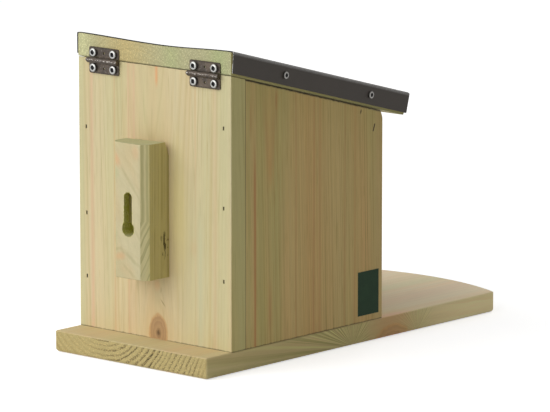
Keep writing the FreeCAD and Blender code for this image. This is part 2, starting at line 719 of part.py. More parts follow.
def main():
    """Write one STEP file per node and print what each holds."""
    os.makedirs("parts", exist_ok=True)
    for name, shape in build().items():
        shape.exportStep(f"parts/{name}.step")
        box = shape.BoundBox
        low = f"{box.XMin:.1f} {box.YMin:.1f} {box.ZMin:.1f}"
        high = f"{box.XMax:.1f} {box.YMax:.1f} {box.ZMax:.1f}"
        print(f"{name}: {len(shape.Solids)} solids, valid {shape.isValid()}, {shape.Volume:.0f} mm3")
        print(f"  from {low} to {high}")


main()
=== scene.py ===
import math
from dataclasses import dataclass

import bpy
import numpy as np
from mathutils import Matrix, Vector


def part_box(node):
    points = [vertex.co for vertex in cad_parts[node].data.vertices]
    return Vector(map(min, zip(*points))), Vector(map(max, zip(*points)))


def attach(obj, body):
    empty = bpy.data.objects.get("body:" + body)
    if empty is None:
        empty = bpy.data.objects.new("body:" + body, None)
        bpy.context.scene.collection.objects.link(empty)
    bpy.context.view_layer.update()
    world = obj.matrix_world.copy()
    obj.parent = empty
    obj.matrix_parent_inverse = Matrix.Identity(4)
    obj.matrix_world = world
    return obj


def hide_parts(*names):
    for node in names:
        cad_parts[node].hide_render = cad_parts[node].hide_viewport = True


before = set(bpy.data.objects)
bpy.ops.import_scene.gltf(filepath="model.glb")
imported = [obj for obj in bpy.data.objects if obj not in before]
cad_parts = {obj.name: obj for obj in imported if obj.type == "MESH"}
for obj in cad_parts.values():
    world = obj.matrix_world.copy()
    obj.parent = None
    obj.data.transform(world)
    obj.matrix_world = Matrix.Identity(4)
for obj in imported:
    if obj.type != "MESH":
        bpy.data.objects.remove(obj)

bl_info = {
    "name": "Squirrel feeder box",
    "version": (1, 0, 0),
    "blender": (4, 5, 0),
    "location": "View3D > Sidebar > Feeder",
    "description": "Pine boards, folded roof sheet, hinges and fasteners of a squirrel feeder box",
    "category": "Object",
}

# The box's own frame, in metres: +Z is up and the clear window faces -Y
HALF_WIDTH = 0.0858
BACK_REAR = 0.16515
PANEL_FRONT = 0.14815
BASE_TOP = 0.018
LID_SEAM = 0.2476
SLOPE = math.radians(15.0)
LID_LENGTH = 0.2256
LID_THICKNESS = 0.019
SHEET_HALF = 0.0867
SHEET_FRONT = 0.2280
SHEET_TOP = 0.26730
SHEET_FOOT = 0.0020
HINGE_AT = (-0.0578, 0.0554)
HINGE_AXIS_Z = 0.2458
SCREW_SPREAD = 0.01125
SCREW_RISE = 0.0064
LEAF = 0.00115
ROOF_SCREWS_ALONG = (0.0649, 0.1770)
ROOF_SCREWS_DOWN = 0.0087
KEYHOLE_X = 0.0028
KEYHOLE_ENTRY_Z = 0.1144
KEYHOLE_END_Z = 0.1405
KEYHOLE_ENTRY = 0.0066
KEYHOLE_SLOT = 0.0044
BLOCK_FACE = 0.19405
UP = (0, 0, 1)
OUT_BACK = (0, 1, 0)
SIDEWAYS = (1, 0, 0)
DOWN_SLOPE = (0, -math.cos(SLOPE), -math.sin(SLOPE))
OFF_SLOPE = (0, -math.sin(SLOPE), math.cos(SLOPE))
SEAM_LEVEL = BACK_REAR * OFF_SLOPE[1] + LID_SEAM * OFF_SLOPE[2]
KNOT_ALONG = -0.040

# The roof's rear edge: where it sags most, how far the sag reaches to the left, to the right and
# down the slope, its trim at the fold's foot and its lean, and where the far fold turns flush
SAG_AT = -0.010
SAG_LEFT, SAG_RIGHT, SAG_DOWN = 0.076, 0.105, 0.150
TRIM, TRIM_LEAN = 0.000085, 0.1568
FLUSH_FROM, FLUSH_OVER = 0.0790, 0.0070

# The hinges' finish: distances off the axis at which a leaf's edge darkens, the knuckles' depth,
# and the height over the axis of the bright line, part rubbed steel and part painted highlight
LEAF_EDGE = (0.0090, 0.0112)
KNUCKLE_DEPTH = (0.1682, 0.1694)
RUB_AND_HIGHLIGHT_ABOVE = 0.0004

# The long crack in the block's side, by its middle and its half sizes
CRACK_DEEP, CRACK_Z = 0.1712, 0.1040
CRACK_WIDE, CRACK_LONG = 0.0010, 0.0085

# The photograph's frame, and the place in it where the box's own middle lands, in pixels
FRAME = (550.0, 412.0)
MIDDLE_SEEN = (202.70, 184.41)
MIDDLE = (0.0005, 0.10515, 0.140)
SENSOR = 36.0
LAMPS_AIM = (0, 0.03, 0.13)
FLOOR_RADIUS = 5.0
FLOOR_LEVEL = -0.0004
FLOOR_GLOW = 0.62

SHARP_ANGLE = 0.6
AROUND_SCREW = 96
SCREW_TURNS_SEED = 11


def srgb(red, green, blue):
    """Linear colour of an sRGB one in 0 to 255: ((c + 0.055) / 1.055) ** 2.4 above the toe."""
    c = np.array([red, green, blue]) / 255
    return tuple(np.where(c <= 0.04045, c / 12.92, ((c + 0.055) / 1.055) ** 2.4).tolist())


def tinted(colour, red, green, blue):
    """A colour times a share in each channel."""
    return tuple(np.minimum(np.array(colour) * (red, green, blue), 1.0).tolist())


def lid_points(x, along, above):
    """Points of the closed lid: down the slope from the hinge end, and off its underside."""
    x, along, above = np.broadcast_arrays(x, along, above)
    y = BACK_REAR - along * math.cos(SLOPE) - above * math.sin(SLOPE)
    z = LID_SEAM - along * math.sin(SLOPE) + above * math.cos(SLOPE)
    return np.stack([x, y, z], -1)


# Shader maths


class Value:
    """A number over a surface: it wraps a socket, so that sums are written as Python."""

    def __init__(self, paint, socket):
        self.paint = paint
        self.socket = socket

    def __add__(self, other):
        return self.paint.maths("ADD", self, other)

    def __sub__(self, other):
        return self.paint.maths("SUBTRACT", self, other)

    def __rsub__(self, other):
        return self.paint.maths("SUBTRACT", other, self)

    def __mul__(self, other):
        return self.paint.maths("MULTIPLY", self, other)

    def __truediv__(self, other):
        return self.paint.maths("DIVIDE", self, other)

    def __pow__(self, other):
        return self.paint.maths("POWER", self, other)

    __radd__ = __add__
    __rmul__ = __mul__

    def smooth(self, low, high):
        """0 below low, 1 above high, and a smooth step between them."""
        return self.paint.value("ShaderNodeMapRange", {"interpolation_type": "SMOOTHSTEP"},
                                {"Value": self, "From Min": low, "From Max": high})

    def between(self, low, high, fade):
        """1 from low to high, with a soft step at each end."""
        return self.smooth(low - fade, low + fade) * (1 - self.smooth(high - fade, high + fade))

    def hump(self, width):
        """exp(-(value / width) ** 2): 1 where the value is nothing, fading both ways."""
        scaled = self / width
        return self.paint.maths("EXPONENT", 0 - scaled * scaled)


class Paint:
    """One procedural material."""

    def __init__(self, name):
        self.material = bpy.data.materials.new(name)
        self.material.use_nodes = True
        self.tree = self.material.node_tree
        self.tree.nodes.clear()
        coordinates = self.node("ShaderNodeTexCoord")
        self.point = coordinates.outputs["Object"]
        self.facing = coordinates.outputs["Normal"]

    def node(self, kind, settings=None, inputs=None):
        """Any node: its settings first, then its sockets' values or links."""
        node = self.tree.nodes.new(kind)
        for key, value in (settings or {}).items():
            setattr(node, key, value)
        for key, value in (inputs or {}).items():
            socket = node.inputs[key]
            if isinstance(value, Value):
                value = value.socket
            if isinstance(value, bpy.types.NodeSocket):
                self.tree.links.new(value, socket)
            elif hasattr(value, "__len__") and len(value) == 3 and len(socket.default_value) == 4:
                socket.default_value = (*value, 1)
            else:
                socket.default_value = value
        return node

    def value(self, kind, settings=None, inputs=None, output=0):
        """The number that a node gives."""
        return Value(self, self.node(kind, settings, inputs).outputs[output])

    def maths(self, operation, *values):
        """A Math node on one, two or three values."""
        return self.value("ShaderNodeMath", {"operation": operation}, dict(enumerate(values)))

    def vector(self, x=0.0, y=0.0, z=0.0):
        """A vector from three values."""
        return self.node("ShaderNodeCombineXYZ", None, {"X": x, "Y": y, "Z": z}).outputs[0]

    def dot(self, vector, direction):
        """How far a vector reaches along a direction."""
        return self.value("ShaderNodeVectorMath", {"operation": "DOT_PRODUCT"},
                          {0: vector, 1: tuple(direction)}, "Value")

    def reach(self, direction):
        """How far the point lies along a direction."""
        return self.dot(self.point, direction)

    def towards(self, direction):
        """cos(angle) ** 2 between the face and a direction: 1 on the faces that look either way."""
        share = self.dot(self.facing, direction)
        return share * share

    def noise(self, vector, scale, detail=2.0, roughness=0.5):
        """Cloudy noise from 0 to 1."""
        return self.value("ShaderNodeTexNoise", {"noise_dimensions": "3D"},
                          {"Vector": vector, "Scale": scale, "Detail": detail, "Roughness": roughness})

    def line_noise(self, place, scale, detail=1.0):
        """Noise from 0 to 1 along one value."""
        return self.value("ShaderNodeTexNoise", {"noise_dimensions": "1D"},
                          {"W": place, "Scale": scale, "Detail": detail})

    def chance(self, place):
        """One fixed random number from 0 to 1 for each value."""
        return self.value("ShaderNodeTexWhiteNoise", {"noise_dimensions": "1D"}, {"W": place})

    def attribute(self, name):
        """A number that the piece's own points carry."""
        return self.value("ShaderNodeAttribute", {"attribute_name": name}, None, "Fac")

    def mix(self, share, first, second, blend="MIX"):
        """Two colours mixed, or laid over each other another way."""
        node = self.node("ShaderNodeMix", {"data_type": "RGBA", "blend_type": blend},
                         {0: share, 6: first, 7: second})
        return node.outputs[2]

    def mottled(self, share, colour, low, high):
        """A colour that varies between two shares of itself."""
        return self.mix(share, tinted(colour, low, low, low), tinted(colour, high, high, high))

    def grey(self, value):
        """A colour that has a value in each channel."""
        return self.node("ShaderNodeCombineColor", None, {0: value, 1: value, 2: value}).outputs[0]

    def finish(self, height=None, depth=0.0, **sockets):
        """The shader itself, with a bump of a given depth where a height is given."""
        inputs = {key.replace("_", " "): value for key, value in sockets.items()}
        if height is not None:
            bump = self.node("ShaderNodeBump", None,
                             {"Strength": 1.0, "Distance": depth, "Height": height})
            inputs["Normal"] = bump.outputs[0]
        shader = self.node("ShaderNodeBsdfPrincipled", None, inputs)
        self.node("ShaderNodeOutputMaterial", None, {"Surface": shader.outputs[0]})
        return self.material


# Pine


@dataclass
class Streak:
    """A coloured line in the wood: its place, how wide, and where it starts, stops and fades. It is
    drawn on the long faces, on the end grain where ends is true, and on both where it is None. Over
    a direction of its own it is drawn only on the faces that don't look that way."""

    at: float
    wide: float
    share: float
    colour: tuple
    low: float = -1.0
    high: float = 1.0
    fade: float = 0.01
    lean: float = 0.0
    over: tuple = None
    ends: bool = False
    ragged: float = 0.0003


@dataclass
class Spot:
    """A small patch: its place across and along the board, its half sizes and its turn."""

    across: float
    along: float
    wide: float
    long: float
    turn: float
    share: float
    colour: tuple


@dataclass
class Knot:
    """A knot: its place, its ellipse, and how far and how widely it pushes the rings aside."""

    along: float
    side: float
    long: float
    wide: float
    push: float
    spread: tuple
    through: str = "deep"
    tone: tuple = (0.36, 0.20, 0.09)
    share: float = 0.85
    ring: float = 0.5
    crack: float = 0.8


@dataclass
class Grain:
    """How a board was cut: its grain's direction, the pith's place across it, and its rings."""

    along: tuple
    across: tuple
    deep: tuple
    pith: tuple
    spacing: float = 0.0028
    lean: tuple = (0.0, 0.0)
    wave: float = 0.006
    ripple: float = 0.0012
    uneven: float = 2.5
    faces: tuple = (1.0, 1.0, 1.0)
    streaks: tuple = ()
    spots: tuple = ()
    knots: tuple = ()
    seed: float = 0.0
    pits: float = 0.2
    pit_side: tuple = (2.0, 1.0, -2.0, -1.0)
    specks: float = 0.0
    contrast: float = 0.5
    hairs: float = 0.3
    dashes: float = 0.25
    fibre: float = 0.16


class Tones:
    """Colours of a board as shares of its main one: warm and green parts, latewood, hairlines and
    end grain."""

    def __init__(self, main, warm=(1.0, 0.92, 0.86), green=(0.90, 0.97, 0.90), late=(0.76, 0.66, 0.46),
                 hair=(0.72, 0.68, 0.52), end=(0.86, 0.92, 0.80)):
        self.pale = tuple(main)
        self.warm = tinted(main, *warm)
        self.green = tinted(main, *green)
        self.late = tinted(main, *late)
        self.hair = tinted(main, *hair)
        self.end = tinted(main, *end)


class Board:
    """One board's solid wood: every value below is a function of the place in the board alone, so
    that rings, lines and knots meet at its edges as in sawn timber."""

    def __init__(self, name, grain, tones):
        paint = self.paint = Paint(name)
        self.grain = grain
        self.tones = tones
        self.along = paint.reach(grain.along)
        self.across = paint.reach(grain.across)
        self.deep = paint.reach(grain.deep)
        self.end = paint.towards(grain.along).smooth(0.4, 0.85)
        self.knots = [self.knot(knot) for knot in grain.knots]
        self.rings()
        self.colours()

    def knot(self, knot):
        """Its push on the rings, exp(-distance), and its own distance in radii, 1 at its edge."""
        paint, ahead, behind = self.paint, knot.spread[0], knot.spread[1]
        run = self.along - knot.along
        side = (self.deep if knot.through == "across" else self.across) - knot.side
        a = paint.maths("MAXIMUM", run / ahead, run / -behind)
        c = side / knot.spread[2]
        push = paint.maths("EXPONENT", 0 - (a * a + c * c) ** 0.5) * knot.push
        a, c = run / knot.long, side / knot.wide
        ragged = (paint.noise(paint.vector(self.across, self.deep, self.along), 200.0, 2.0) - 0.5) * 0.30
        return push, (a * a + c * c) ** 0.5 + ragged

    def rings(self):
        """Growth rings: radius = distance from a leaning pith line + waves + the knots' push; a ring
        is the whole part of radius / spacing, and latewood is the last part of each ring."""
        paint, grain = self.paint, self.grain
        u = self.across - grain.pith[0] - self.along * grain.lean[0]
        v = self.deep - grain.pith[1] - self.along * grain.lean[1]
        slow = paint.vector(self.across + grain.seed, self.deep, self.along * 0.16)
        self.wave = (paint.noise(slow, 11.0, 2.0) - 0.5) * grain.wave
        ripple = (paint.noise(slow, 70.0, 2.0) - 0.5) * grain.ripple
        radius = (u * u + v * v) ** 0.5 + self.wave + ripple
        for push, _ in self.knots:
            radius = radius + push
        turn = radius / grain.spacing + paint.line_noise(radius + grain.seed, 60.0, 2.0) * grain.uneven
        ring = paint.maths("FLOOR", turn)
        phase = paint.maths("FRACT", turn)
        late = phase.smooth(0.3, 0.9) * (1 - phase.smooth(0.93, 1.0))
        strength = paint.chance(ring + grain.seed * 100.0)
        self.line = phase.smooth(0.45, 0.75) * (1 - phase.smooth(0.94, 1.0)) * (0.45 + 0.55 * strength)
        late = late * (0.2 + 0.8 * strength * strength)
        place = paint.vector(self.across, self.deep, self.along * 0.2 + grain.seed)
        patch = paint.noise(place, 46.0, 2.0)
        late = late * (0.45 + 0.55 * patch.smooth(0.36, 0.58))
        hair = paint.line_noise(radius + grain.seed, 640.0, 3.0).smooth(0.52, 0.74)
        hair = hair * patch.smooth(0.66, 0.4)
        share = None
        for direction, weight in zip((grain.across, grain.deep, grain.along), grain.faces):
            part = paint.towards(direction) * weight
            share = part if share is None else share + part
        self.u, self.v = u, v
        self.late = late * share
        self.hair = hair * share

    def streak(self, streak, broad, colour):
        """A colour mixed in by exp(-(distance / width) ** 2) between the streak's two ends."""
        paint, grain = self.paint, self.grain
        place = paint.reach(streak.over or grain.across) - streak.at + self.wave * 0.12
        if streak.lean:
            place = place - (self.along - streak.low) * streak.lean
        place = place + (broad - 0.5) * streak.ragged * 4
        shape = place.hump(streak.wide) * (0.7 + 0.6 * broad) * streak.share
        if streak.over:
            shape = shape * (1 - paint.towards(streak.over).smooth(0.3, 0.7))
        if streak.low > -1.0 or streak.high < 1.0:
            shape = shape * self.along.between(streak.low, streak.high, streak.fade)
        if streak.ends is not None:
            shape = shape * (self.end if streak.ends else 1 - self.end)
        return paint.mix(paint.maths("MINIMUM", shape, 1.0), colour, streak.colour)

    def spot(self, spot, broad, colour):
        """A colour mixed in over an ellipse with a ragged edge."""
        x, z = self.across - spot.across, self.along - spot.along
        cos, sin = math.cos(spot.turn), math.sin(spot.turn)
        a = (x * cos + z * sin) / spot.wide
        b = (z * cos - x * sin) / spot.long
        reach = (a * a + b * b) ** 0.5 + (broad - 0.5) * 0.8
        share = (1 - reach.smooth(0.15, 1.35)) * spot.share * (1 - self.end)
        return self.paint.mix(share, colour, spot.colour)

    def colours(self):
        """The wood's colour, bump and sheen from its rings, fibres, streaks, knots and pores."""
        paint, grain, tones, along = self.paint, self.grain, self.tones, self.along
        thread = paint.vector(self.u, self.v, along * 0.035)
        fine = paint.noise(thread, 1500.0, 2.0, 0.6)
        broad = paint.noise(thread, 260.0, 3.0, 0.55)
        place = paint.vector(self.across + self.wave * 0.2 + grain.seed, self.deep, along * 0.04)
        dash = paint.noise(place, 640.0, 2.0, 0.6)
        dash = dash.smooth(0.56, 0.74) * (1 - self.end)
        drift = paint.noise(paint.vector(self.u + grain.seed, self.v, along * 0.05), 34.0, 2.0)
        cast = paint.noise(paint.vector(self.u, self.v + grain.seed, along * 0.07), 19.0, 2.0)
        colour = paint.mix(drift.smooth(0.40, 0.64), tones.pale, tones.warm)
        colour = paint.mix(cast.smooth(0.48, 0.68) * 0.8, colour, tones.green)
        colour = paint.mix(self.end, colour, tones.end)
        colour = paint.mix(self.late * grain.contrast, colour, tones.late)
        colour = paint.mix(self.line * self.end * grain.pits * 0.45, colour, tones.late)
        colour = paint.mix(self.hair * grain.hairs, colour, tones.hair)
        colour = paint.mix(dash * grain.dashes, colour, tones.hair)
        for streak in grain.streaks:
            colour = self.streak(streak, broad, colour)
        for spot in grain.spots:
            colour = self.spot(spot, broad, colour)
        for knot, (_, reach) in zip(grain.knots, self.knots):
            body = 1 - reach.smooth(0.86, 1.08)
            rings = paint.maths("FRACT", reach * 3.2).smooth(0.1, 1.0) * 0.3
            inner = paint.mix(rings, knot.tone, tinted(knot.tone, 0.6, 0.5, 0.45))
            crack = reach.hump(0.2) * knot.crack
            inner = paint.mix(crack, inner, (0.07, 0.035, 0.015))
            colour = paint.mix(body * knot.share, colour, inner)
            rim = (reach - 1.0).hump(0.09) * knot.ring
            colour = paint.mix(rim, colour, tinted(knot.tone, 1.15, 0.9, 0.7))
            halo = reach.smooth(0.8, 1.0) * (1 - reach.smooth(1.0, 2.4))
            colour = paint.mix(halo * 0.3, colour, tinted(tones.pale, 0.92, 0.74, 0.56))
        tint = 1 + (fine - 0.5) * grain.fibre + (broad - 0.5) * grain.fibre * 1.2
        pore = paint.noise(paint.vector(self.across, self.deep, along * 0.2), 900.0, 2.0)
        rough_side = self.across.smooth(*grain.pit_side[:2]) * self.across.smooth(*grain.pit_side[2:])
        pit = pore.smooth(0.38, 0.55) * self.end * grain.pits * self.line * rough_side
        speck = (1 - pore.smooth(0.34, 0.5)) * self.end * grain.specks
        self.colour = paint.mix(1.0, colour, paint.grey(tint + speck - pit * 0.8), "MULTIPLY")
        self.height = fine * 0.5 + self.late * 0.35 - pit
        self.roughness = 0.64 + (broad - 0.5) * 0.14

    def tint(self, share, colour):
        """A share of a colour mixed into the board's."""
        self.colour = self.paint.mix(share, self.colour, colour)

    def multiply(self, share, factor):
        """A share of the board's colour times a factor in each channel."""
        self.colour = self.paint.mix(share, self.colour, factor, "MULTIPLY")

    def finish(self):
        """The board's material."""
        return self.paint.finish(self.height, 0.00012, Base_Color=self.colour, Roughness=self.roughness,
                                 Specular_IOR_Level=0.28)


# Surfaces


def grid_faces(rows, columns, offset=0, around=False):
    """Quads between the neighbours of a grid of points, closed around its columns if asked."""
    spans = columns if around else columns - 1
    i, j = np.meshgrid(np.arange(rows - 1), np.arange(spans), indexing="ij")
    k = (j + 1) % columns
    corners = [i * columns + j, i * columns + k, (i + 1) * columns + k, (i + 1) * columns + j]
    return np.stack(corners, -1).reshape(-1, 4) + offset


def shell(outer, inner):
    """A closed wall between two grids of points: both grids, and quads that join their rims."""
    rows, columns = outer.shape[:2]
    count = rows * columns
    vertices = np.concatenate([outer.reshape(-1, 3), inner.reshape(-1, 3)])
    index = np.arange(count).reshape(rows, columns)
    rim = np.concatenate([index[0], index[1:, -1], index[-1, -2::-1], index[-2:0:-1, 0]])
    after = np.roll(rim, -1)
    sides = np.stack([rim, rim + count, after + count, after], -1)
    faces = np.concatenate([grid_faces(rows, columns), grid_faces(rows, columns, count)[:, ::-1], sides])
    return vertices, outward(vertices, faces)


def outward(vertices, faces):
    """The same quads turned to face out: the volume under them, a sum of a . (b x c), is positive."""
    a, b, c, d = (vertices[faces[:, corner]] for corner in range(4))
    volume = (a * np.cross(b, c)).sum() + (a * np.cross(c, d)).sum()
    return faces if volume > 0 else faces[:, ::-1]


def joined(parts):
    """Several meshes' vertices and faces as one."""
    offset, vertices, faces = 0, [], []
    for part_vertices, part_faces in parts:
        vertices.append(part_vertices)
        faces += [[int(corner) + offset for corner in face] for face in part_faces]
        offset += len(part_vertices)
    return np.concatenate(vertices), faces


def piece(name, shape, material, body, stands_for, slot, **point_values):
    """A mesh piece from arrays, with values on its points, riding on a body in a CAD node's place."""
    vertices, faces = shape
    mesh = bpy.data.meshes.new(name)
    mesh.from_pydata(np.asarray(vertices, float).tolist(), [], [list(map(int, face)) for face in faces])
    mesh.polygons.foreach_set("use_smooth", np.ones(len(mesh.polygons), bool))
    mesh.set_sharp_from_angle(angle=SHARP_ANGLE)
    for key, values in point_values.items():
        layer = mesh.attributes.new(key, "FLOAT", "POINT")
        layer.data.foreach_set("value", np.asarray(values, np.float32))
    thing = bpy.data.objects.new(name, mesh)
    bpy.context.scene.collection.objects.link(thing)
    mesh.materials.append(material)
    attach(thing, body)
    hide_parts(*stands_for)
    return thing


def dress(node, material):
    """A CAD node keeps its shape and gets a finish."""
    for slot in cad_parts[node].material_slots:
        slot.material = material


def hollow(x, along, depth):
    """How far the roof's rear edge sags: depth * cos(s * pi / 2) ** 2, s running from 0 at the
    lowest place to 1 at either end, and fading down the slope."""
    s = np.where(x > SAG_AT, (x - SAG_AT) / SAG_RIGHT, (SAG_AT - x) / SAG_LEFT)
    share = np.clip(along / SAG_DOWN, 0, 1)
    return depth * np.cos(np.clip(s, 0, 1) * np.pi / 2) ** 2 * (1 - share * share * (3 - 2 * share))


def folded_path(half, foot, top, bend, wall, count):
    """Points (x, above) round one face of the folded sheet: up one fold, a quarter circle of the
    bend's radius less the wall, straight across, and down the other fold."""
    turn = np.linspace(0, np.pi / 2, 8)
    x = half - bend + (bend - wall) * np.cos(turn)
    above = top - bend + (bend - wall) * np.sin(turn)
    flat = np.linspace(half - bend, bend - half, count)[1:-1]
    x = np.concatenate([[half - wall], x, flat, -x[::-1], [wall - half]])
    above = np.concatenate([[foot], above, np.full(len(flat), top - wall), above[::-1], [foot]])
    return x, above


def roof_sheet_shape(sizes):
    """The folded sheet: its path carried down the slope, its rear edge trimmed in a straight line
    trim - lean * height with a slight wave, and the front fold as a strip of its own path."""
    top = LID_THICKNESS + sizes.sheet
    share = np.linspace(0, 1, 44)[:, None] ** 1.5
    walls = []
    for wall in (0.0, sizes.sheet):
        x, above = folded_path(SHEET_HALF, SHEET_FOOT, top, sizes.bend, wall, 72)
        rear = TRIM - (above - SHEET_FOOT) * TRIM_LEAN
        flush = np.clip((x - FLUSH_FROM) / FLUSH_OVER, 0, 1)
        rear = rear + (-above * math.tan(SLOPE) - 0.0003 - rear) * flush * flush * (3 - 2 * flush)
        rear = rear + 0.00012 * np.sin(x * 190) + 0.00008 * np.sin(x * 470 + 1.0)
        rear = np.maximum(rear, (LID_SEAM + above * math.cos(SLOPE) - SHEET_TOP) / math.sin(SLOPE))
        on_fold = np.abs(x) > SHEET_HALF - sizes.sheet - 0.0001
        front = np.where(on_fold, SHEET_FRONT, SHEET_FRONT - sizes.bend)
        along = rear + (front - rear) * share
        x, above = np.broadcast_to(x, along.shape), np.broadcast_to(above, along.shape)
        walls.append(lid_points(x, along, above - hollow(x, along, sizes.hollow)))
    tray = shell(*walls)
    turn = np.linspace(0, np.pi / 2, 9)[:, None]
    x = np.linspace(-0.0855, 0.0855, 30)[None]
    walls = []
    for wall in (0.0, sizes.sheet):
        radius = sizes.bend - wall
        along = np.concatenate([SHEET_FRONT - sizes.bend + radius * np.sin(turn), [[SHEET_FRONT - wall]]])
        above = np.concatenate([top - sizes.bend + radius * np.cos(turn), [[SHEET_FOOT]]])
        walls.append(lid_points(x, along, above))
    return joined([tray, shell(*walls)])


def lid_board_shape(sizes):
    """The lid board: a slab between a top path and a bottom path, with quarter-circle corners, a
    plumb rear end (along = -height * tan(slope)), and a top that sags with the sheet."""
    share = np.linspace(0, 1, 40)[:, None] ** 1.5
    turn = np.linspace(0, np.pi / 2, 7)
    faces = []
    for radius, level, way in ((0.0018, LID_THICKNESS, 1), (0.0009, 0.0, -1)):
        corner_x = HALF_WIDTH - radius + radius * np.cos(turn)
        corner_z = level - way * radius + way * radius * np.sin(turn)
        flat = np.linspace(HALF_WIDTH - radius, radius - HALF_WIDTH, 72)[1:-1]
        x = np.concatenate([corner_x, flat, -corner_x[::-1]])
        above = np.concatenate([corner_z, np.full(len(flat), level), corner_z[::-1]])
        rear = -above * math.tan(SLOPE)
        along = rear + (LID_LENGTH - rear) * share
        x, above = np.broadcast_to(x, along.shape), np.broadcast_to(above, along.shape)
        drop = hollow(x, along, sizes.hollow) + 0.0004 * np.clip(1 - along / 0.012, 0, 1) ** 2
        faces.append(lid_points(x, along, above - drop * above / LID_THICKNESS))
    return shell(*faces)


def cross_recess(x, y, r, head):
    """How deep a place on a head lies in its cross, from 0 to 1: two crossed bars with soft edges,
    shallower towards their ends, and a round middle."""
    arm, reach, soft = head * 0.085, head * 0.29, head * 0.03

    def inside(value, edge):
        return np.clip((edge - np.abs(value)) / soft + 0.5, 0, 1)

    cross = np.maximum(inside(x, arm) * inside(y, reach), inside(y, arm) * inside(x, reach))
    middle = np.clip((head * 0.26 - r) / soft + 0.5, 0, 1)
    return np.maximum(cross * (1 - 0.45 * np.clip(r / reach, 0, 1)), middle * 0.95)


def threaded_shank(shank, length, pitch, turn):
    """Rings of points down a shank: the radius swells and falls with turn - 2 pi z / pitch, after a
    plain start, and tapers to the tip."""
    levels = np.linspace(0, -length, 60)[:, None]
    lift = 0.5 + 0.5 * np.cos(turn[None] - 2 * np.pi * levels / pitch)
    taper = np.clip((levels + length) / (shank * 1.2), 0.03, 1)
    started = np.clip(-levels / 0.0015 - 0.3, 0, 1)
    core = shank * 0.36
    crest = np.where(started > 0, lift ** 3 * started, 1 - started)
    radius = (core + (shank / 2 - core) * crest) * taper
    z = np.broadcast_to(levels, radius.shape)
    return np.stack([radius * np.cos(turn), radius * np.sin(turn), z], -1)


def pan_screw(head, height, shank, length, pitch):
    """A pan-head screw about +Z: rings of points down its head, whose crown follows
    height * (0.66 + 0.34 * (1 - (r / 1.02) ** 3.2) ** 0.5), and down its shank, closed at both ends.
    Its points also say how deep in the recess and how near the rim they lie, each from 0 to 1."""
    around = AROUND_SCREW
    turn = np.linspace(0, 2 * np.pi, around, endpoint=False)
    radial = head / 2 * np.linspace(0, 1, 34)[1:]
    crown = np.sqrt(np.clip(1 - (radial / (head / 2) / 1.02) ** 3.2, 0, 1))
    crown = height * (0.66 + 0.34 * crown)
    r, t = np.meshgrid(radial, turn, indexing="ij")
    x, y = r * np.cos(t), r * np.sin(t)
    sunk = cross_recess(x, y, r, head)
    rows = [np.stack([x, y, crown[:, None] - sunk * height * 0.7], -1)]
    for share, level in ((1.0, 0.56), (1.0, 0.2), (0.97, 0.05), (0.94, 0.0), (0.5, 0.0)):
        x, y = np.cos(turn) * head / 2 * share, np.sin(turn) * head / 2 * share
        rows.append(np.stack([x, y, np.full(around, height * level)], -1)[None])
    rows.append(threaded_shank(shank, length, pitch, turn))
    body = np.concatenate(rows)
    count = len(body)
    centre = [[0, 0, crown[0] - height * 0.665]]
    tip = [[0, 0, -length - shank * 0.05]]
    vertices = np.concatenate([centre, body.reshape(-1, 3), tip])
    here = np.arange(around)
    after = (here + 1) % around
    last = 1 + (count - 1) * around
    fan = np.stack([np.zeros(around, int), 1 + here, 1 + after], -1)
    foot = np.stack([last + after, last + here, np.full(around, len(vertices) - 1)], -1)
    wall = grid_faces(count, around, 1, around=True)[:, ::-1]
    faces = [*fan.tolist(), *wall.tolist(), *foot.tolist()]
    recess = np.zeros(len(vertices))
    recess[0] = 1
    recess[1:1 + sunk.size] = sunk.ravel()
    rim = np.zeros(len(vertices))
    rim[1:1 + sunk.size] = (r / (head / 2)).ravel()
    rim[1 + sunk.size:] = 1.0
    return vertices, faces, recess, rim


def screws_in_place(name, seats, ways, sizes, material, body, node):
    """The same screw at each seat, its head facing a given way and its cross turned at random."""
    vertices, faces, recess, rim = pan_screw(*sizes)
    random = np.random.default_rng(SCREW_TURNS_SEED)
    parts = []
    for seat, way in zip(seats, ways):
        spin = Matrix.Rotation(random.uniform(0, math.pi / 2), 3, "Z")
        turned = np.array(Vector((0, 0, 1)).rotation_difference(Vector(way)).to_matrix() @ spin)
        parts.append((vertices @ turned.T + np.array(seat), faces))
    piece(name, joined(parts), material, body, (node,), "screw_steel",
          recess=np.tile(recess, len(parts)), rim=np.tile(rim, len(parts)))


# Stage and settings


def camera_matrix(stage):
    """Camera place and turn: back along the view from the target, then turned so that the
    target lands at its own pixel of the frame."""
    target = Vector(MIDDLE)
    az, el = stage.azimuth, stage.elevation
    back = Vector((-math.sin(az) * math.cos(el), math.cos(az) * math.cos(el), math.sin(el)))
    focal = stage.lens / SENSOR * FRAME[0]
    yaw = math.atan((MIDDLE_SEEN[0] - FRAME[0] / 2) / focal)
    pitch = math.atan((MIDDLE_SEEN[1] - FRAME[1] / 2) / focal)
    up = Vector((0, 0, 1))
    right = up.cross(back).normalized()
    forward = (-back * math.cos(yaw) - right * math.sin(yaw)).normalized()
    right = forward.cross(up).normalized()
    lifted = right.cross(forward)
    forward = forward * math.cos(pitch) + lifted * math.sin(pitch)
    lifted = right.cross(forward)
    turn = Matrix((right, lifted, -forward)).transposed().to_4x4()
    return Matrix.Translation(target + back * stage.distance) @ turn


def length_property(name, description, default):
    """A length in metres that a user can change."""
    return bpy.props.FloatProperty(name=name, description=description, default=default, unit="LENGTH",
                                   precision=5)


def colour_property(name, description, default):
    """A linear colour that a user can change."""
    return bpy.props.FloatVectorProperty(name=name, description=description, default=default,
                                         subtype="COLOR", size=3, min=0.0, max=1.0)


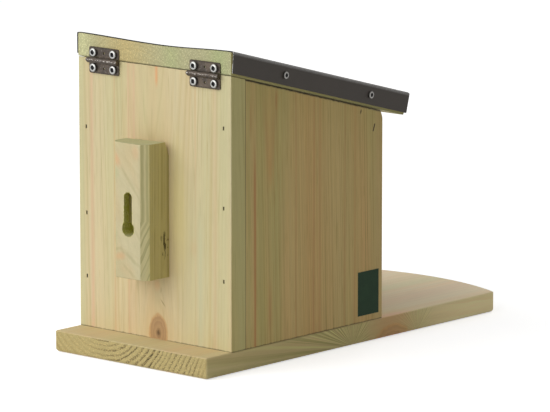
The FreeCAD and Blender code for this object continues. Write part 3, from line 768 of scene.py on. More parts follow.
class FeederStage(bpy.types.PropertyGroup):
    """Camera, lamps and floor."""

    lens: bpy.props.FloatProperty(name="Lens", description="Focal length in millimetres", default=304.2)
    distance: length_property("Distance", "Camera from the box", 3.8873)
    azimuth: bpy.props.FloatProperty(name="Azimuth", description="Camera's turn from straight behind",
                                     default=math.radians(42.384), subtype="ANGLE")
    elevation: bpy.props.FloatProperty(name="Elevation", description="Camera above the horizon",
                                       default=math.radians(9.981), subtype="ANGLE")
    key: bpy.props.FloatProperty(name="Key", description="Watts of the key lamp", default=57.5)
    front: bpy.props.FloatProperty(name="Front fill", description="Watts of the front lamp", default=9.0)
    sky: bpy.props.FloatProperty(name="Sky", description="Light from all round", default=0.27)


class FeederSizes(bpy.types.PropertyGroup):
    """Sizes of the pieces that are made here."""

    sheet: length_property("Sheet", "Thickness of the roof sheet", 0.0007)
    bend: length_property("Bend", "Outer radius of the sheet's folds", 0.0018)
    hollow: length_property("Hollow", "Sag of the roof's rear edge", 0.0021)
    hinge_screw_head: length_property("Hinge screw head", "Diameter of the hinge screws' heads", 0.0070)
    hinge_screw_rise: length_property("Hinge screw rise", "Height of the hinge screws' heads", 0.0024)
    hinge_screw_length: length_property("Hinge screw length", "Length under the heads", 0.0130)
    roof_screw_head: length_property("Roof screw head", "Diameter of the roof screws' heads", 0.0060)
    roof_screw_rise: length_property("Roof screw rise", "Height of the roof screws' heads", 0.0019)
    roof_screw_length: length_property("Roof screw length", "Length under the heads", 0.0140)
    shank: length_property("Shank", "Diameter over the screws' threads", 0.0030)
    pitch: length_property("Pitch", "Pitch of the screws' threads", 0.0011)


class FeederColours(bpy.types.PropertyGroup):
    """Colours of the woods and finishes."""

    back: colour_property("Back panel", "Main colour of the back panel", srgb(216, 202, 160))
    side: colour_property("Side panels", "Main colour of the side panels", srgb(214, 189, 127))
    base: colour_property("Base board", "Main colour of the base board", srgb(212, 196, 150))
    block: colour_property("Hanging block", "Main colour of the hanging block", srgb(208, 197, 157))
    lid: colour_property("Lid board", "Main colour of the lid board", srgb(206, 200, 146))
    pink: colour_property("Pink", "Soft pink streaks", srgb(218, 180, 146))
    flame: colour_property("Flame", "Orange resin streaks", srgb(226, 166, 116))
    rust: colour_property("Rust", "Reddish streaks of the side panels", srgb(192, 132, 82))
    # Painted shade: the near-black of the lines drawn in the gaps where boards meet
    gap: colour_property("Gap", "Dark edges where boards meet", (0.020, 0.016, 0.005))
    roof: colour_property("Roof paint", "Paint of the roof sheet", (0.056, 0.0465, 0.0375))
    hinge: colour_property("Hinge steel", "Dull steel of the hinges", (0.066, 0.053, 0.043))
    zinc: colour_property("Zinc", "Plating of the screws", (0.46, 0.46, 0.44))
    brad: colour_property("Brads", "Sunk heads of the brads", (0.045, 0.038, 0.026))
    staple: colour_property("Staples", "Wire of the staples", (0.026, 0.016, 0.010))
    window: colour_property("Window", "Clear sheet", (0.96, 0.98, 0.98))
    label: colour_property("Label", "Green of the label", (0.022, 0.048, 0.024))


class FEEDER_OT_stage(bpy.types.Operator):
    """Camera, lamps, white surroundings and the floor with its soft shadow"""

    bl_idname = "feeder.stage"
    bl_label = "Stage"

    def execute(self, context):
        stage = context.scene.feeder_stage
        scene = context.scene
        scene.view_settings.view_transform = "Standard"
        camera = bpy.data.objects.new("camera", bpy.data.cameras.new("camera"))
        camera.data.sensor_width = SENSOR
        camera.data.lens = stage.lens
        camera.data.clip_end = 40.0
        camera.matrix_world = camera_matrix(stage)
        scene.collection.objects.link(camera)
        scene.camera = camera
        for name, way, reach, size, power in (
                ("key_lamp", (0.36, 0.88, 0.62), 2.6, 3.4, stage.key),
                ("front_lamp", (0.25, -1.0, 0.7), 2.4, 1.4, stage.front)):
            lamp = bpy.data.lights.new(name, "AREA")
            lamp.shape = "DISK"
            lamp.size = size
            lamp.energy = power
            thing = bpy.data.objects.new(name, lamp)
            way = Vector(way).normalized()
            thing.location = Vector(LAMPS_AIM) + way * reach
            thing.rotation_euler = way.to_track_quat("Z", "Y").to_euler()
            scene.collection.objects.link(thing)
        self.surroundings(scene, stage)
        self.floor(scene)
        return {"FINISHED"}

    def surroundings(self, scene, stage):
        """A world that lights softly and shows white to the camera, to metal and through glass."""
        world = bpy.data.worlds.new("surroundings")
        scene.world = world
        world.use_nodes = True
        tree = world.node_tree
        tree.nodes.clear()
        path = tree.nodes.new("ShaderNodeLightPath")
        seen = path.outputs["Is Camera Ray"]
        for kind in ("Is Glossy Ray", "Is Transmission Ray"):
            more = tree.nodes.new("ShaderNodeMath")
            more.operation = "MAXIMUM"
            tree.links.new(seen, more.inputs[0])
            tree.links.new(path.outputs[kind], more.inputs[1])
            seen = more.outputs[0]
        both = tree.nodes.new("ShaderNodeMixShader")
        tree.links.new(seen, both.inputs[0])
        for socket, strength in ((1, stage.sky), (2, 1.0)):
            light = tree.nodes.new("ShaderNodeBackground")
            light.inputs["Color"].default_value = (1, 1, 1, 1)
            light.inputs["Strength"].default_value = strength
            tree.links.new(light.outputs[0], both.inputs[socket])
        out = tree.nodes.new("ShaderNodeOutputWorld")
        tree.links.new(both.outputs[0], out.inputs[0])

    def floor(self, scene):
        """A pale disc, a grid of rings, that glows only for the rays that look at it."""
        paint = Paint("pale_floor")
        path = paint.node("ShaderNodeLightPath")
        seen = paint.maths("MAXIMUM", Value(paint, path.outputs["Is Camera Ray"]),
                           Value(paint, path.outputs["Is Glossy Ray"]))
        seen = paint.maths("MAXIMUM", seen, Value(paint, path.outputs["Is Transmission Ray"]))
        matt = paint.node("ShaderNodeBsdfDiffuse", None, {"Color": (0.8, 0.8, 0.8)})
        glow = paint.node("ShaderNodeEmission", None, {"Color": (1, 1, 1), "Strength": FLOOR_GLOW})
        both = paint.node("ShaderNodeAddShader", None, {0: matt.outputs[0], 1: glow.outputs[0]})
        pick = paint.node("ShaderNodeMixShader", None, {0: seen, 1: matt.outputs[0], 2: both.outputs[0]})
        paint.node("ShaderNodeOutputMaterial", None, {"Surface": pick.outputs[0]})
        rings, around = 6, 64
        turn = np.linspace(0, 2 * np.pi, around, endpoint=False)
        radius, turn = np.meshgrid(np.linspace(0.001, FLOOR_RADIUS, rings), turn, indexing="ij")
        level = np.full_like(radius, FLOOR_LEVEL)
        points = np.stack([radius * np.cos(turn), radius * np.sin(turn), level], -1)
        faces = grid_faces(rings, around, around=True)
        mesh = bpy.data.meshes.new("floor")
        mesh.from_pydata(points.reshape(-1, 3).tolist(), [], faces.tolist())
        mesh.materials.append(paint.material)
        floor = bpy.data.objects.new("floor", mesh)
        scene.collection.objects.link(floor)


# Pieces and their finishes


class FEEDER_OT_back_panel(bpy.types.Operator):
    """Back panel: flat-sawn, with soft pink and green bands and half a knot at the foot"""

    bl_idname = "feeder.back_panel"
    bl_label = "Back panel"

    def execute(self, context):
        tints = context.scene.feeder_colours
        main, pink, flame, gap = map(tuple, (tints.back, tints.pink, tints.flame, tints.gap))
        reddish = tinted(main, 0.93, 0.72, 0.60)
        greenish = tinted(main, 0.88, 0.98, 0.92)
        dark = tinted(main, 0.45, 0.38, 0.25)
        streaks = (
            Streak(0.0707, 0.0020, 0.55, pink, ragged=0.0006),
            Streak(0.0447, 0.0009, 0.60, reddish),
            Streak(0.0290, 0.0010, 0.40, pink, ragged=0.0006),
            Streak(0.0225, 0.0012, 0.50, pink, low=0.12, high=0.26, fade=0.03, ragged=0.0006),
            Streak(0.0258, 0.0048, 0.22, pink),
            Streak(-0.009, 0.0150, 0.30, tinted(main, 1.0, 0.90, 0.82), high=0.215, fade=0.03),
            Streak(-0.0462, 0.0010, 0.40, reddish),
            Streak(-0.0678, 0.0026, 0.30, pink, ragged=0.0006),
            Streak(-0.0780, 0.0080, 0.65, greenish),
            Streak(0.0830, 0.0060, 0.75, greenish),
            Streak(0.0520, 0.0070, 0.35, greenish),
            Streak(-0.0420, 0.0120, 0.50, greenish, high=0.15, fade=0.05),
            Streak(0.0120, 0.0080, 0.35, greenish, low=0.18, fade=0.03),
            Streak(-0.0516, 0.0028, 0.50, tinted(main, 0.84, 0.98, 1.04), high=0.125, fade=0.03),
            Streak(-0.0031, 0.0015, 0.85, flame, low=0.2325, fade=0.005),
            # Painted shade: near-black lines in the gaps under the lid and over the base
            Streak(LID_SEAM - 0.0003, 0.0005, 0.45, gap, over=UP, ends=None, ragged=0.0004),
            Streak(BASE_TOP + 0.0001, 0.0006, 0.75, gap, over=UP, ends=None, ragged=0.0004),
        )
        knots = (Knot(0.0235, -0.0041, 0.0155, 0.0098, -0.014, (0.045, 0.045, 0.022),
                      tone=tinted(main, 0.70, 0.52, 0.42), share=1.0, ring=0.6),)
        spots = (
            Spot(-0.0092, 0.0495, 0.0006, 0.0040, -0.74, 0.7, dark),
            Spot(-0.0072, 0.0600, 0.0005, 0.0030, 0.1, 0.5, dark),
            Spot(-0.0030, 0.0640, 0.0040, 0.0060, 0.0, 0.3, flame),
            Spot(-0.0640, 0.1280, 0.0030, 0.0070, 0.0, 0.25, tinted(main, 0.8, 0.8, 0.7)),
            Spot(-0.0440, 0.1000, 0.0040, 0.0090, 0.0, 0.25, reddish),
            # Painted light: a lighter, warmer patch over the block's cast shadow, beside it
            Spot(-0.0270, 0.1260, 0.0110, 0.0640, 0.0, 0.60, tinted(main, 1.18, 1.18, 0.88)),
        )
        grain = Grain(UP, SIDEWAYS, OUT_BACK, (0.004, 0.100), 0.0034, (0.0, 0.03), streaks=streaks,
                      spots=spots, knots=knots, faces=(0.8, 0.7, 1.0), seed=1.3, contrast=0.56,
                      hairs=0.75, dashes=0.52, fibre=0.14)
        board = Board("pine_back", grain, Tones(main))
        edge = board.paint.towards(SIDEWAYS).smooth(0.5, 0.9)
        # Painted light: the faces lighter towards the foot, for light thrown up from the floor
        board.multiply(board.along.smooth(0.20, 0.03) * (1 - edge), (1.08, 1.06, 1.07))
        board.multiply(edge, (0.89, 0.90, 0.66))
        dress("back_panel", board.finish())
        return {"FINISHED"}


class FEEDER_OT_side_panels(bpy.types.Operator):
    """Side panels: close straight grain with rusty streaks and a flame near the back"""

    bl_idname = "feeder.side_panels"
    bl_label = "Side panels"

    def execute(self, context):
        tints = context.scene.feeder_colours
        main, rust, gap = map(tuple, (tints.side, tints.rust, tints.gap))
        warm = tinted(main, 0.98, 0.84, 0.74)
        olive = tinted(main, 0.78, 0.88, 0.76)
        lines = (
            Streak(0.1416, 0.0014, 0.55, rust, low=0.196, high=0.222, fade=0.01),
            Streak(0.1363, 0.0014, 0.95, rust, high=0.180, fade=0.03, ragged=0.0004),
            Streak(0.1177, 0.0030, 0.35, rust, low=0.157, high=0.232, fade=0.015, lean=0.12),
            Streak(0.1177, 0.0030, 0.30, rust, low=0.157, high=0.232, fade=0.015, lean=-0.12),
            Streak(0.1177, 0.0060, 0.50, warm, low=0.150, high=0.240, fade=0.02),
            Streak(0.1290, 0.0060, 0.55, olive),
            Streak(0.1102, 0.0010, 0.60, rust, low=0.215, high=0.228, fade=0.005),
            Streak(0.1177, 0.0020, 0.45, rust, low=0.030, high=0.066, fade=0.012),
            Streak(0.0852, 0.0009, 0.45, rust),
            Streak(0.0625, 0.0009, 0.65, rust, ragged=0.0005),
            Streak(0.0549, 0.0015, 0.40, rust),
            Streak(0.0229, 0.0014, 0.35, rust),
            Streak(0.0100, 0.0010, 0.30, rust),
            Streak(0.0700, 0.0220, 0.28, warm),
            Streak(-0.0200, 0.0070, 0.45, tinted(main, 0.93, 0.82, 0.86)),
            Streak(0.1276, 0.0045, 0.45, olive, low=0.030, high=0.058, fade=0.01),
            Streak(0.1440, 0.0030, 0.55, olive),
            # Painted shade: the faces darker towards the top, under the roof
            Streak(SEAM_LEVEL - 0.0008, 0.0260, 0.25, tinted(main, 0.60, 0.62, 0.45), over=OFF_SLOPE),
            # Painted shade: near-black lines in the gaps under the lid, at the back panel and over the
            # base
            Streak(SEAM_LEVEL - 0.0008, 0.0008, 1.0, gap, over=OFF_SLOPE, ends=None, ragged=0.0002),
            Streak(PANEL_FRONT - 0.00025, 0.0005, 0.60, gap, over=OUT_BACK, ends=None, ragged=0.0003),
            Streak(BASE_TOP + 0.0001, 0.0006, 0.75, gap, over=UP, ends=None, ragged=0.0005),
        )
        nick = Spot(0.0026, 0.1988, 0.0009, 0.0022, 0.3, 0.9, gap)
        tones = Tones(main, warm=(1.01, 0.90, 0.88), green=(0.82, 0.96, 0.87), late=(0.72, 0.60, 0.42),
                      hair=(0.68, 0.62, 0.46))
        for side, way, seed in (("left", 1, 0.4), ("right", -1, 2.9)):
            grain = Grain(UP, OUT_BACK, (way, 0, 0), (0.150, 0.055 * -way), 0.0025, (0.02, 0.01),
                          streaks=lines, spots=(nick,), faces=(0.8, 1.0, 1.0), seed=seed, uneven=4.0,
                          contrast=0.75, hairs=0.80, dashes=0.70, fibre=0.20)
            dress(f"side_panel_{side}", Board(f"pine_side_{side}", grain, tones).finish())
        return {"FINISHED"}


class FEEDER_OT_base_board(bpy.types.Operator):
    """Base board: smiling rings on the rear end grain, a fan of grain round a knot on the near edge"""

    bl_idname = "feeder.base_board"
    bl_label = "Base board"

    def execute(self, context):
        main = tuple(context.scene.feeder_colours.base)
        pinkish = tinted(main, 1.0, 0.84, 0.86)
        knots = (Knot(KNOT_ALONG, -0.004, 0.022, 0.0135, 0.004, (0.034, 0.011, 0.030), through="across",
                      tone=tinted(main, 0.94, 0.66, 0.57), share=0.85, ring=0.45, crack=0.15),)
        streaks = (
            Streak(-0.045, 0.0140, 0.40, pinkish),
            Streak(0.010, 0.0100, 0.30, pinkish),
            Streak(0.045, 0.0120, 0.35, pinkish),
        )
        spots = (Spot(-HALF_WIDTH, KNOT_ALONG, 0.0100, 0.0260, 0.0, 0.9, tinted(main, 1.06, 0.80, 0.80)),)
        grain = Grain(OUT_BACK, SIDEWAYS, UP, (0.029, 0.058), 0.0045, (0.02, 0.01), knots=knots,
                      streaks=streaks, spots=spots, ripple=0.0036, faces=(0.55, 0.22, 0.8), seed=4.2,
                      pits=1.0, pit_side=(0.056, 0.010, -0.084, -0.064), uneven=0.8, specks=0.26,
                      contrast=0.60, hairs=0.35, dashes=0.12, fibre=0.12)
        board = Board("pine_base", grain, Tones(main, late=(0.60, 0.52, 0.34), end=(0.78, 0.75, 0.59)))
        self.fan(board, main)
        board.multiply(board.paint.towards(SIDEWAYS), (1.0, 1.0, 0.88))
        # Painted light: the front of the board lighter and less yellow, its top by its own share and from
        # further back, for the light the nose gets from the floor and the front
        top = board.paint.towards(UP).smooth(0.3, 0.7)
        painted_front_light = board.paint.mix(top, (1.70, 1.82, 2.22), (1.50, 1.52, 1.85))
        edge_share = board.along.smooth(-0.02, -0.15)
        share = edge_share + (board.along.smooth(0.09, -0.15) - edge_share) * top
        board.multiply(share, painted_front_light)
        dress("base_board", board.finish())
        return {"FINISHED"}

    def fan(self, board, main):
        """Fine lines on the long edges that spread from a point at the board's foot on either side of
        the knot: each is a value of the angle atan2(height, distance) about it, fading away from it."""
        paint = board.paint
        side = paint.towards(SIDEWAYS)
        for at, front, reach, share in ((0.012, -0.019, 0.080, 0.60), (-0.072, -0.020, 0.020, 0.45)):
            run = board.along - at
            angle = paint.maths("ARCTAN2", board.deep + 0.0012, run + board.wave * 0.3)
            lines = paint.line_noise(angle + at, 18.0, 3.0).smooth(0.45, 0.60)
            light = paint.line_noise(angle + at + 5.0, 22.0, 2.0).smooth(0.50, 0.66)
            shape = side * run.smooth(front - 0.007, front + 0.007) * run.hump(reach) * share
            if at > 0:
                shape = shape + side * run.smooth(0.0, 0.03) * 0.25
            board.tint(lines * shape, tinted(main, 0.52, 0.58, 0.36))
            board.tint(light * shape, tinted(main, 1.22, 1.40, 1.17))


class FEEDER_OT_hanging_block(bpy.types.Operator):
    """Keyhole block: arched grain with orange flames, a dark keyhole and torn fibres round it"""

    bl_idname = "feeder.hanging_block"
    bl_label = "Hanging block"

    def execute(self, context):
        tints = context.scene.feeder_colours
        main, flame = map(tuple, (tints.block, tints.flame))
        grey = tinted(main, 0.80, 0.82, 0.76)
        olive = tinted(main, 0.72, 0.72, 0.60)
        mossy = tinted(main, 0.84, 0.94, 0.84)
        spots = (
            Spot(0.0165, 0.1720, 0.0045, 0.0085, -0.62, 0.50, flame),
            Spot(-0.0065, 0.1795, 0.0045, 0.0070, 0.0, 0.25, flame),
            Spot(0.0130, 0.0905, 0.0038, 0.0080, 1.40, 0.40, flame),
            Spot(0.0060, 0.0800, 0.0110, 0.0050, 0.2, 0.40, tinted(main, 1.0, 0.88, 0.80)),
            Spot(0.0165, 0.1600, 0.0040, 0.0060, 0.0, 0.55, mossy),
            Spot(0.0170, 0.1080, 0.0040, 0.0100, 0.0, 0.40, mossy),
            Spot(-0.0015, 0.1510, 0.0016, 0.0210, -0.67, 0.40, olive),
            Spot(-0.0005, 0.0900, 0.0020, 0.0160, -1.02, 0.45, olive),
            Spot(0.0158, 0.0962, 0.0016, 0.0070, 1.27, 0.40, olive),
            Spot(0.0000, 0.0780, 0.0016, 0.0140, -0.95, 0.35, olive),
            Spot(-0.0060, 0.1130, 0.0016, 0.0120, -0.60, 0.30, olive),
        )
        streaks = (Streak(-0.0165, 0.0016, 0.95, tinted(main, 0.86, 0.84, 0.56)),
                   Streak(-0.0118, 0.0030, 0.35, grey))
        grain = Grain(UP, SIDEWAYS, OUT_BACK, (-0.0285, 0.1625), 0.0060, (0.45, -0.35), streaks=streaks,
                      spots=spots, uneven=1.5, faces=(0.15, 1.0, 1.0), seed=6.1, contrast=0.13,
                      hairs=0.12, dashes=0.12, fibre=0.14)
        board = Board("pine_block", grain, Tones(main, end=(0.78, 0.86, 0.78)))
        self.sawn_side(board, main)
        self.chamfers(board, main)
        self.keyhole(board)
        dress("hanging_block", board.finish())
        return {"FINISHED"}

    def chamfers(self, board, main):
        """Olive lines down the chamfered edges, leaning below the keyhole."""
        paint = board.paint
        shape = (paint.towards(SIDEWAYS) * paint.towards(OUT_BACK) * 4).smooth(0.4, 0.9)
        place = board.deep + board.across + board.wave * 0.4
        place = place - paint.maths("MAXIMUM", 0.122 - board.along, 0.0) * 0.65
        place = place + paint.noise(paint.vector(0.0, board.deep, board.along * 0.3), 90.0, 2.0) * 0.006
        dark = paint.line_noise(place, 210.0, 3.0).smooth(0.48, 0.64)
        board.tint(shape * 0.6, tinted(main, 1.10, 1.12, 0.90))
        board.tint(dark * shape * 0.6, tinted(main, 0.58, 0.60, 0.42))

    def sawn_side(self, board, main):
        """Close upright lines on the block's two long sides, noise over the depth alone, and painted
        shade where they meet the back panel.
        """
        paint = board.paint
        shape = paint.towards(SIDEWAYS).smooth(0.3, 0.9)
        place = board.deep + board.wave * 0.15 + board.along * 0.01
        patch = paint.noise(paint.vector(board.deep, board.across, board.along * 0.3), 110.0, 2.0)
        dark = paint.line_noise(place, 460.0, 3.0).smooth(0.48, 0.66) * (0.35 + patch.smooth(0.4, 0.6))
        light = paint.line_noise(place + 2.7, 520.0, 2.0).smooth(0.52, 0.7)
        board.tint(dark * shape * 0.55, tinted(main, 0.58, 0.52, 0.26))
        # Painted shade along the sides next to the back panel
        board.tint(shape * board.deep.smooth(0.1685, 0.1660) * 0.5, tinted(main, 0.5, 0.46, 0.2))
        board.tint(light * shape * 0.4, tinted(main, 0.98, 1.0, 0.66))

    def keyhole(self, board):
        """Dark olive inside the keyhole as painted shade, darker deep in the slot, torn pale fibres at
        its edge, and a few dark cracks near the panel; the distance to the keyhole is the lesser of those
        to its entry and its slot."""
        paint = board.paint
        x = board.across - KEYHOLE_X
        z = board.along
        entry = (x * x + (z - KEYHOLE_ENTRY_Z) * (z - KEYHOLE_ENTRY_Z)) ** 0.5 - KEYHOLE_ENTRY
        below = paint.maths("MINIMUM", z - KEYHOLE_ENTRY_Z, 0.0)
        past = paint.maths("MAXIMUM", z - KEYHOLE_END_Z, below)
        slot = (x * x + past * past) ** 0.5 - KEYHOLE_SLOT
        edge = paint.maths("MINIMUM", entry, slot)
        torn = paint.noise(paint.vector(x, board.deep, z * 0.35), 1100.0, 2.0)
        rim = 1 - (edge + (torn - 0.5) * 0.0030).smooth(-0.0001, 0.0003)
        sunk = 1 - board.deep.smooth(BLOCK_FACE - 0.0012, BLOCK_FACE - 0.0002)
        # Painted shade: the keyhole's inside dark olive, darker still deep in the slot
        inside = paint.maths("MAXIMUM", rim, (1 - edge.smooth(0.0004, 0.0008)) * sunk)
        far = 1 - board.deep.smooth(BLOCK_FACE - 0.012, BLOCK_FACE)
        slot_only = z.smooth(KEYHOLE_ENTRY_Z + 0.004, KEYHOLE_ENTRY_Z + 0.010)
        depths = paint.mix(slot_only, (0.41, 0.40, 0.073), (0.33, 0.32, 0.006))
        board.tint(inside * (1 - board.end), paint.mix(far, (0.42, 0.41, 0.095), depths))
        ring = (edge - 0.0004).hump(0.0008) * torn.smooth(0.5, 0.60)
        board.tint(ring * 0.6, tinted(board.tones.pale, 1.1, 1.08, 0.95))
        blot = paint.noise(paint.vector(x, board.deep, z * 0.3), 520.0, 3.0)
        near = (1 - board.deep.smooth(0.170, 0.179)) * z.between(0.090, 0.110, 0.005) * (1 - board.end)
        a, b = (board.deep - CRACK_DEEP) / CRACK_WIDE, (z - CRACK_Z) / CRACK_LONG
        split = 1 - ((a * a + b * b) ** 0.5 + (blot - 0.5) * 1.6).smooth(0.70, 1.0)
        cracks = paint.maths("MAXIMUM", blot.smooth(0.56, 0.60) * near, split * (1 - board.end))
        board.tint(cracks * 0.95, (0.034, 0.022, 0.002))


class FEEDER_OT_lid_board(bpy.types.Operator):
    """Lid board: a slab with a plumb rear end and a top that sags at the back"""

    bl_idname = "feeder.lid_board"
    bl_label = "Lid board"

    def execute(self, context):
        tints = context.scene.feeder_colours
        main, gap = map(tuple, (tints.lid, tints.gap))
        tan = tinted(main, 0.87, 0.73, 0.63)
        streaks = (
            Streak(0.032, 0.0280, 0.80, tan, ends=True),
            Streak(-0.072, 0.0120, 0.55, tinted(main, 0.62, 0.78, 0.70), ends=True),
            Streak(-0.020, 0.0100, 0.45, tinted(main, 0.66, 0.80, 0.72), ends=True),
            Streak(0.080, 0.0090, 0.60, tinted(main, 1.03, 1.10, 1.16), ends=True),
            Streak(-0.048, 0.0140, 0.30, tinted(main, 0.70, 0.72, 0.80), ends=True),
            # Painted shade: a near-black line in the gap where the lid sits on the box
            Streak(SEAM_LEVEL + 0.0002, 0.0005, 0.55, gap, over=OFF_SLOPE, ends=None, ragged=0.0005),
        )
        grain = Grain(DOWN_SLOPE, SIDEWAYS, OFF_SLOPE, (0.02, 0.155), 0.0036, (0.0, 0.0), streaks=streaks,
                      faces=(0.8, 0.7, 0.20), seed=8.4, contrast=0.45, hairs=0.25, dashes=0.2, fibre=0.14,
                      pits=0.15, specks=0.34)
        board = Board("pine_lid", grain, Tones(main, end=(0.73, 0.74, 0.84)))
        board.multiply(board.paint.towards(SIDEWAYS).smooth(0.5, 0.9), (0.70, 0.68, 0.52))
        shape = lid_board_shape(context.scene.feeder_sizes)
        thing = piece("lid_slab", shape, board.finish(), "lid", ("lid_board",), "pine_lid")
        ease = thing.modifiers.new("ease", "BEVEL")
        ease.width = 0.0005
        ease.segments = 2
        ease.limit_method = "ANGLE"
        return {"FINISHED"}


class FEEDER_OT_roof_sheet(bpy.types.Operator):
    """Roof sheet: dark matt paint, black at its cut rear edge, bare steel at the near corner and a
    painted highlight along the top of its folds
    """

    bl_idname = "feeder.roof_sheet"
    bl_label = "Roof sheet"

    def execute(self, context):
        sizes = context.scene.feeder_sizes
        main = tuple(context.scene.feeder_colours.roof)
        paint = Paint("roof_steel")
        speck = paint.noise(paint.point, 900.0, 2.0)
        cloud = paint.noise(paint.point, 26.0, 3.0)
        colour = paint.mix(cloud.smooth(0.35, 0.7), main, tinted(main, 1.18, 1.18, 1.2))
        colour = paint.mix(speck.smooth(0.5, 0.8) * 0.3, colour, tinted(main, 1.6, 1.6, 1.6))
        cut = paint.dot(paint.facing, DOWN_SLOPE).smooth(-0.5, -0.9)
        corner = 1 - paint.reach(SIDEWAYS).smooth(-HALF_WIDTH, 0.0008 - HALF_WIDTH)
        bare = corner * paint.noise(paint.point, 700.0, 2.0).smooth(0.3, 0.6)
        colour = paint.mix(cut, colour, paint.mix(bare, (0.005, 0.005, 0.004), (0.75, 0.74, 0.72)))
        # Painted highlight along the top of the folds, speckled
        under_top = paint.reach(OFF_SLOPE) - (SEAM_LEVEL + LID_THICKNESS + sizes.sheet)
        bend_highlight = under_top.smooth(-0.0034, -0.0010) * paint.towards(SIDEWAYS).smooth(0.05, 0.3)
        bend_highlight = bend_highlight * (0.45 + 0.4 * speck.smooth(0.35, 0.6))
        colour = paint.mix(bend_highlight, colour, (0.42, 0.41, 0.39))
        material = paint.finish(speck, 0.00004, Base_Color=colour, Roughness=0.55 + (cloud - 0.5) * 0.15,
                                Specular_IOR_Level=0.3)
        piece("folded_sheet", roof_sheet_shape(sizes), material, "lid", ("roof_sheet",), "roof_steel")
        return {"FINISHED"}


def screw_finish(name, plate, rim_shade):
    """Plated steel: bright crown, and painted shade in the recess and round the outer rim, by the points'
    own values.
    """
    paint = Paint(name)
    cloud = paint.noise(paint.point, 1400.0, 2.0)
    recess = paint.attribute("recess").smooth(0.15, 0.6)
    rim = paint.attribute("rim").smooth(0.74, 0.98)
    colour = paint.mottled(cloud, plate, 0.85, 1.15)
    # Painted shade round the outer rim of each head
    colour = paint.mix(rim * rim_shade, colour, tinted(plate, 0.2, 0.19, 0.18))
    # Painted shade in the recess: near-black and not metal
    colour = paint.mix(recess, colour, (0.012, 0.012, 0.014))
    return paint.finish(cloud, 0.00002, Base_Color=colour, Metallic=1 - recess * 0.9,
                        Roughness=0.26 + cloud * 0.16 + recess * 0.4)


class FEEDER_OT_screws(bpy.types.Operator):
    """Pan-head screws with threads: eight in the hinges and four in the roof sheet's folds"""

    bl_idname = "feeder.screws"
    bl_label = "Screws"

    def execute(self, context):
        sizes = context.scene.feeder_sizes
        plate = tuple(context.scene.feeder_colours.zinc)
        bright = screw_finish("screw_zinc", plate, 0.6)
        dull = screw_finish("screw_zinc_dull", tinted(plate, 0.62, 0.60, 0.59), 0.45)
        screw = (sizes.hinge_screw_head, sizes.hinge_screw_rise, sizes.shank, sizes.hinge_screw_length,
                 sizes.pitch)
        for body, rise in (("lid", SCREW_RISE), ("box", -SCREW_RISE)):
            seats = [(at + spread, BACK_REAR + LEAF, HINGE_AXIS_Z + rise)
                     for at in HINGE_AT for spread in (-SCREW_SPREAD, SCREW_SPREAD)]
            screws_in_place(f"hinge_pan_screws_{body}", seats, [OUT_BACK] * 4, screw, bright, body,
                            f"hinge_screws_{body}")
        screw = (sizes.roof_screw_head, sizes.roof_screw_rise, sizes.shank, sizes.roof_screw_length,
                 sizes.pitch)
        seats = [lid_points(side * SHEET_HALF, along, LID_THICKNESS - ROOF_SCREWS_DOWN)
                 for side in (-1, 1) for along in ROOF_SCREWS_ALONG]
        ways = [(side, 0, 0) for side in (-1, 1) for _ in ROOF_SCREWS_ALONG]
        screws_in_place("roof_pan_screws", seats, ways, screw, dull, "lid", "roof_screws")
        paint = Paint("long_screw_zinc")
        cloud = paint.noise(paint.point, 1400.0, 2.0)
        colour = paint.mottled(cloud, plate, 0.8, 1.1)
        dress("hanging_block_screws", paint.finish(cloud, 0.00002, Base_Color=colour, Metallic=1.0,
                                                   Roughness=0.24 + cloud * 0.16))
        return {"FINISHED"}


class FEEDER_OT_hinges(bpy.types.Operator):
    """Butt hinges: dull brownish steel with dark edges, and a bright line along the knuckles, part rubbed
    steel and part painted highlight
    """

    bl_idname = "feeder.hinges"
    bl_label = "Hinges"

    def execute(self, context):
        main = tuple(context.scene.feeder_colours.hinge)
        paint = Paint("hinge_steel")
        y, z = paint.reach(OUT_BACK), paint.reach(UP)
        grain = paint.noise(paint.point, 700.0, 3.0)
        cloud = paint.noise(paint.point, 190.0, 2.0)
        colour = paint.mix(cloud.smooth(0.35, 0.65), main, tinted(main, 1.75, 1.68, 1.55))
        colour = paint.mix(grain.smooth(0.55, 0.75) * 0.35, colour, (0.32, 0.30, 0.27))
        off_axis = (z - HINGE_AXIS_Z) * (z - HINGE_AXIS_Z)
        edge = off_axis.smooth(LEAF_EDGE[0] ** 2, LEAF_EDGE[1] ** 2)
        colour = paint.mix(edge * 0.75, colour, tinted(main, 0.45, 0.42, 0.38))
        scratch = paint.noise(paint.vector(paint.reach(SIDEWAYS) * 0.5, y, z * 2.0), 900.0, 3.0)
        knuckle = y.smooth(*KNUCKLE_DEPTH)
        colour = paint.mix(knuckle * 0.6, colour, tinted(main, 0.8, 0.75, 0.7))
        # A bright line just over the axis on the knuckles: part rubbed steel, part painted highlight
        line = (z - HINGE_AXIS_Z - RUB_AND_HIGHLIGHT_ABOVE).hump(0.0005)
        rub_and_highlight = line * knuckle * scratch.smooth(0.50, 0.60) * 0.8
        colour = paint.mix(rub_and_highlight, colour, (0.78, 0.74, 0.68))
        material = paint.finish(grain, 0.00006, Base_Color=colour, Metallic=0.7,
                                Roughness=0.46 + (cloud - 0.5) * 0.3)
        for side in ("left", "right"):
            for part in ("box_leaf", "lid_leaf", "pin"):
                dress(f"hinge_{side}_{part}", material)
        return {"FINISHED"}


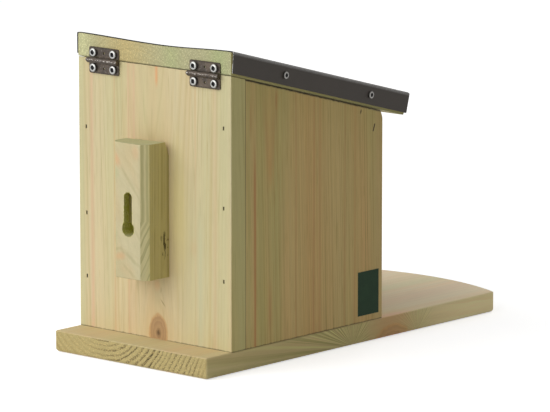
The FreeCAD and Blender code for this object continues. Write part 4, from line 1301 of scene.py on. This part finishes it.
class FEEDER_OT_brads(bpy.types.Operator):
    """Brads and staples: dark wire and sunk heads"""

    bl_idname = "feeder.brads"
    bl_label = "Brads and staples"

    def execute(self, context):
        tints = context.scene.feeder_colours
        for name, nodes, dark in (("brad_steel", ("back_panel_brads", "base_brads"), tuple(tints.brad)),
                                  ("staple_wire", ("window_staples",), tuple(tints.staple))):
            paint = Paint(name)
            grain = paint.noise(paint.point, 1800.0, 2.0)
            colour = paint.mottled(grain, dark, 0.6, 1.8)
            material = paint.finish(grain, 0.00003, Base_Color=colour, Metallic=0.3,
                                    Roughness=0.5 + grain * 0.15, Specular_IOR_Level=0.25)
            for node in nodes:
                dress(node, material)
        return {"FINISHED"}


class FEEDER_OT_window(bpy.types.Operator):
    """Clear window: polished sheet with fine scratches"""

    bl_idname = "feeder.window"
    bl_label = "Window"

    def execute(self, context):
        paint = Paint("clear_sheet")
        place = paint.vector(paint.reach(SIDEWAYS) * 4.0, 0.0, paint.reach(UP))
        scratch = paint.noise(place, 300.0, 3.0).smooth(0.62, 0.8)
        main = tuple(context.scene.feeder_colours.window)
        dress("front_window", paint.finish(Base_Color=main, Roughness=0.04 + scratch * 0.10,
                                           Alpha=0.05 + scratch * 0.05, IOR=1.49))
        return {"FINISHED"}


class FEEDER_OT_label(bpy.types.Operator):
    """Label: a plain dark green sticker with a satin face and slightly rubbed edges"""

    bl_idname = "feeder.label"
    bl_label = "Label"

    def execute(self, context):
        main = tuple(context.scene.feeder_colours.label)
        low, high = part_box("label_sticker")
        paint = Paint("label_green")
        weave = paint.noise(paint.point, 1200.0, 2.0)
        cloud = paint.noise(paint.point, 90.0, 2.0)
        colour = paint.mottled(weave, main, 0.85, 1.2)
        colour = paint.mix(cloud.smooth(0.45, 0.7) * 0.5, colour, tinted(main, 1.35, 1.3, 1.35))
        past = []
        for axis, way in ((1, OUT_BACK), (2, UP)):
            middle, half = (low[axis] + high[axis]) / 2, (high[axis] - low[axis]) / 2
            past.append(paint.maths("ABSOLUTE", paint.reach(way) - middle) - half)
        rubbed = paint.maths("MAXIMUM", *past).smooth(-0.0006, 0.0) * weave.smooth(0.4, 0.6)
        colour = paint.mix(rubbed * 0.5, colour, (0.20, 0.24, 0.15))
        dress("label_sticker", paint.finish(weave, 0.00002, Base_Color=colour,
                                            Roughness=0.55 + cloud * 0.1, Specular_IOR_Level=0.12))
        return {"FINISHED"}


class FEEDER_PT_panel(bpy.types.Panel):
    """The steps in order, with the sizes and colours that can be changed"""

    bl_idname = "FEEDER_PT_panel"
    bl_label = "Squirrel feeder"
    bl_space_type = "VIEW_3D"
    bl_region_type = "UI"
    bl_category = "Feeder"

    def draw(self, context):
        for operator in OPERATORS:
            self.layout.operator(operator.bl_idname)
        for name, group in GROUPS.items():
            for key in group.__annotations__:
                self.layout.prop(getattr(context.scene, name), key)


GROUPS = {"feeder_stage": FeederStage, "feeder_sizes": FeederSizes, "feeder_colours": FeederColours}
OPERATORS = (
    FEEDER_OT_stage,
    FEEDER_OT_base_board,
    FEEDER_OT_back_panel,
    FEEDER_OT_side_panels,
    FEEDER_OT_hanging_block,
    FEEDER_OT_lid_board,
    FEEDER_OT_roof_sheet,
    FEEDER_OT_hinges,
    FEEDER_OT_screws,
    FEEDER_OT_brads,
    FEEDER_OT_window,
    FEEDER_OT_label,
)
CLASSES = (*GROUPS.values(), *OPERATORS, FEEDER_PT_panel)


def register():
    """The classes, and the three groups of settings on the scene."""
    for cls in CLASSES:
        bpy.utils.register_class(cls)
    for name, group in GROUPS.items():
        setattr(bpy.types.Scene, name, bpy.props.PointerProperty(type=group))


def unregister():
    """The same, taken out in the opposite order."""
    for name in GROUPS:
        delattr(bpy.types.Scene, name)
    for cls in reversed(CLASSES):
        bpy.utils.unregister_class(cls)


def main():
    """Registers the add-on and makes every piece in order."""
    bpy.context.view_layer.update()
    register()
    for operator in OPERATORS:
        getattr(bpy.ops.feeder, operator.bl_idname.split(".")[1])()
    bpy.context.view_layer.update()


if __name__ == "__main__":
    main()
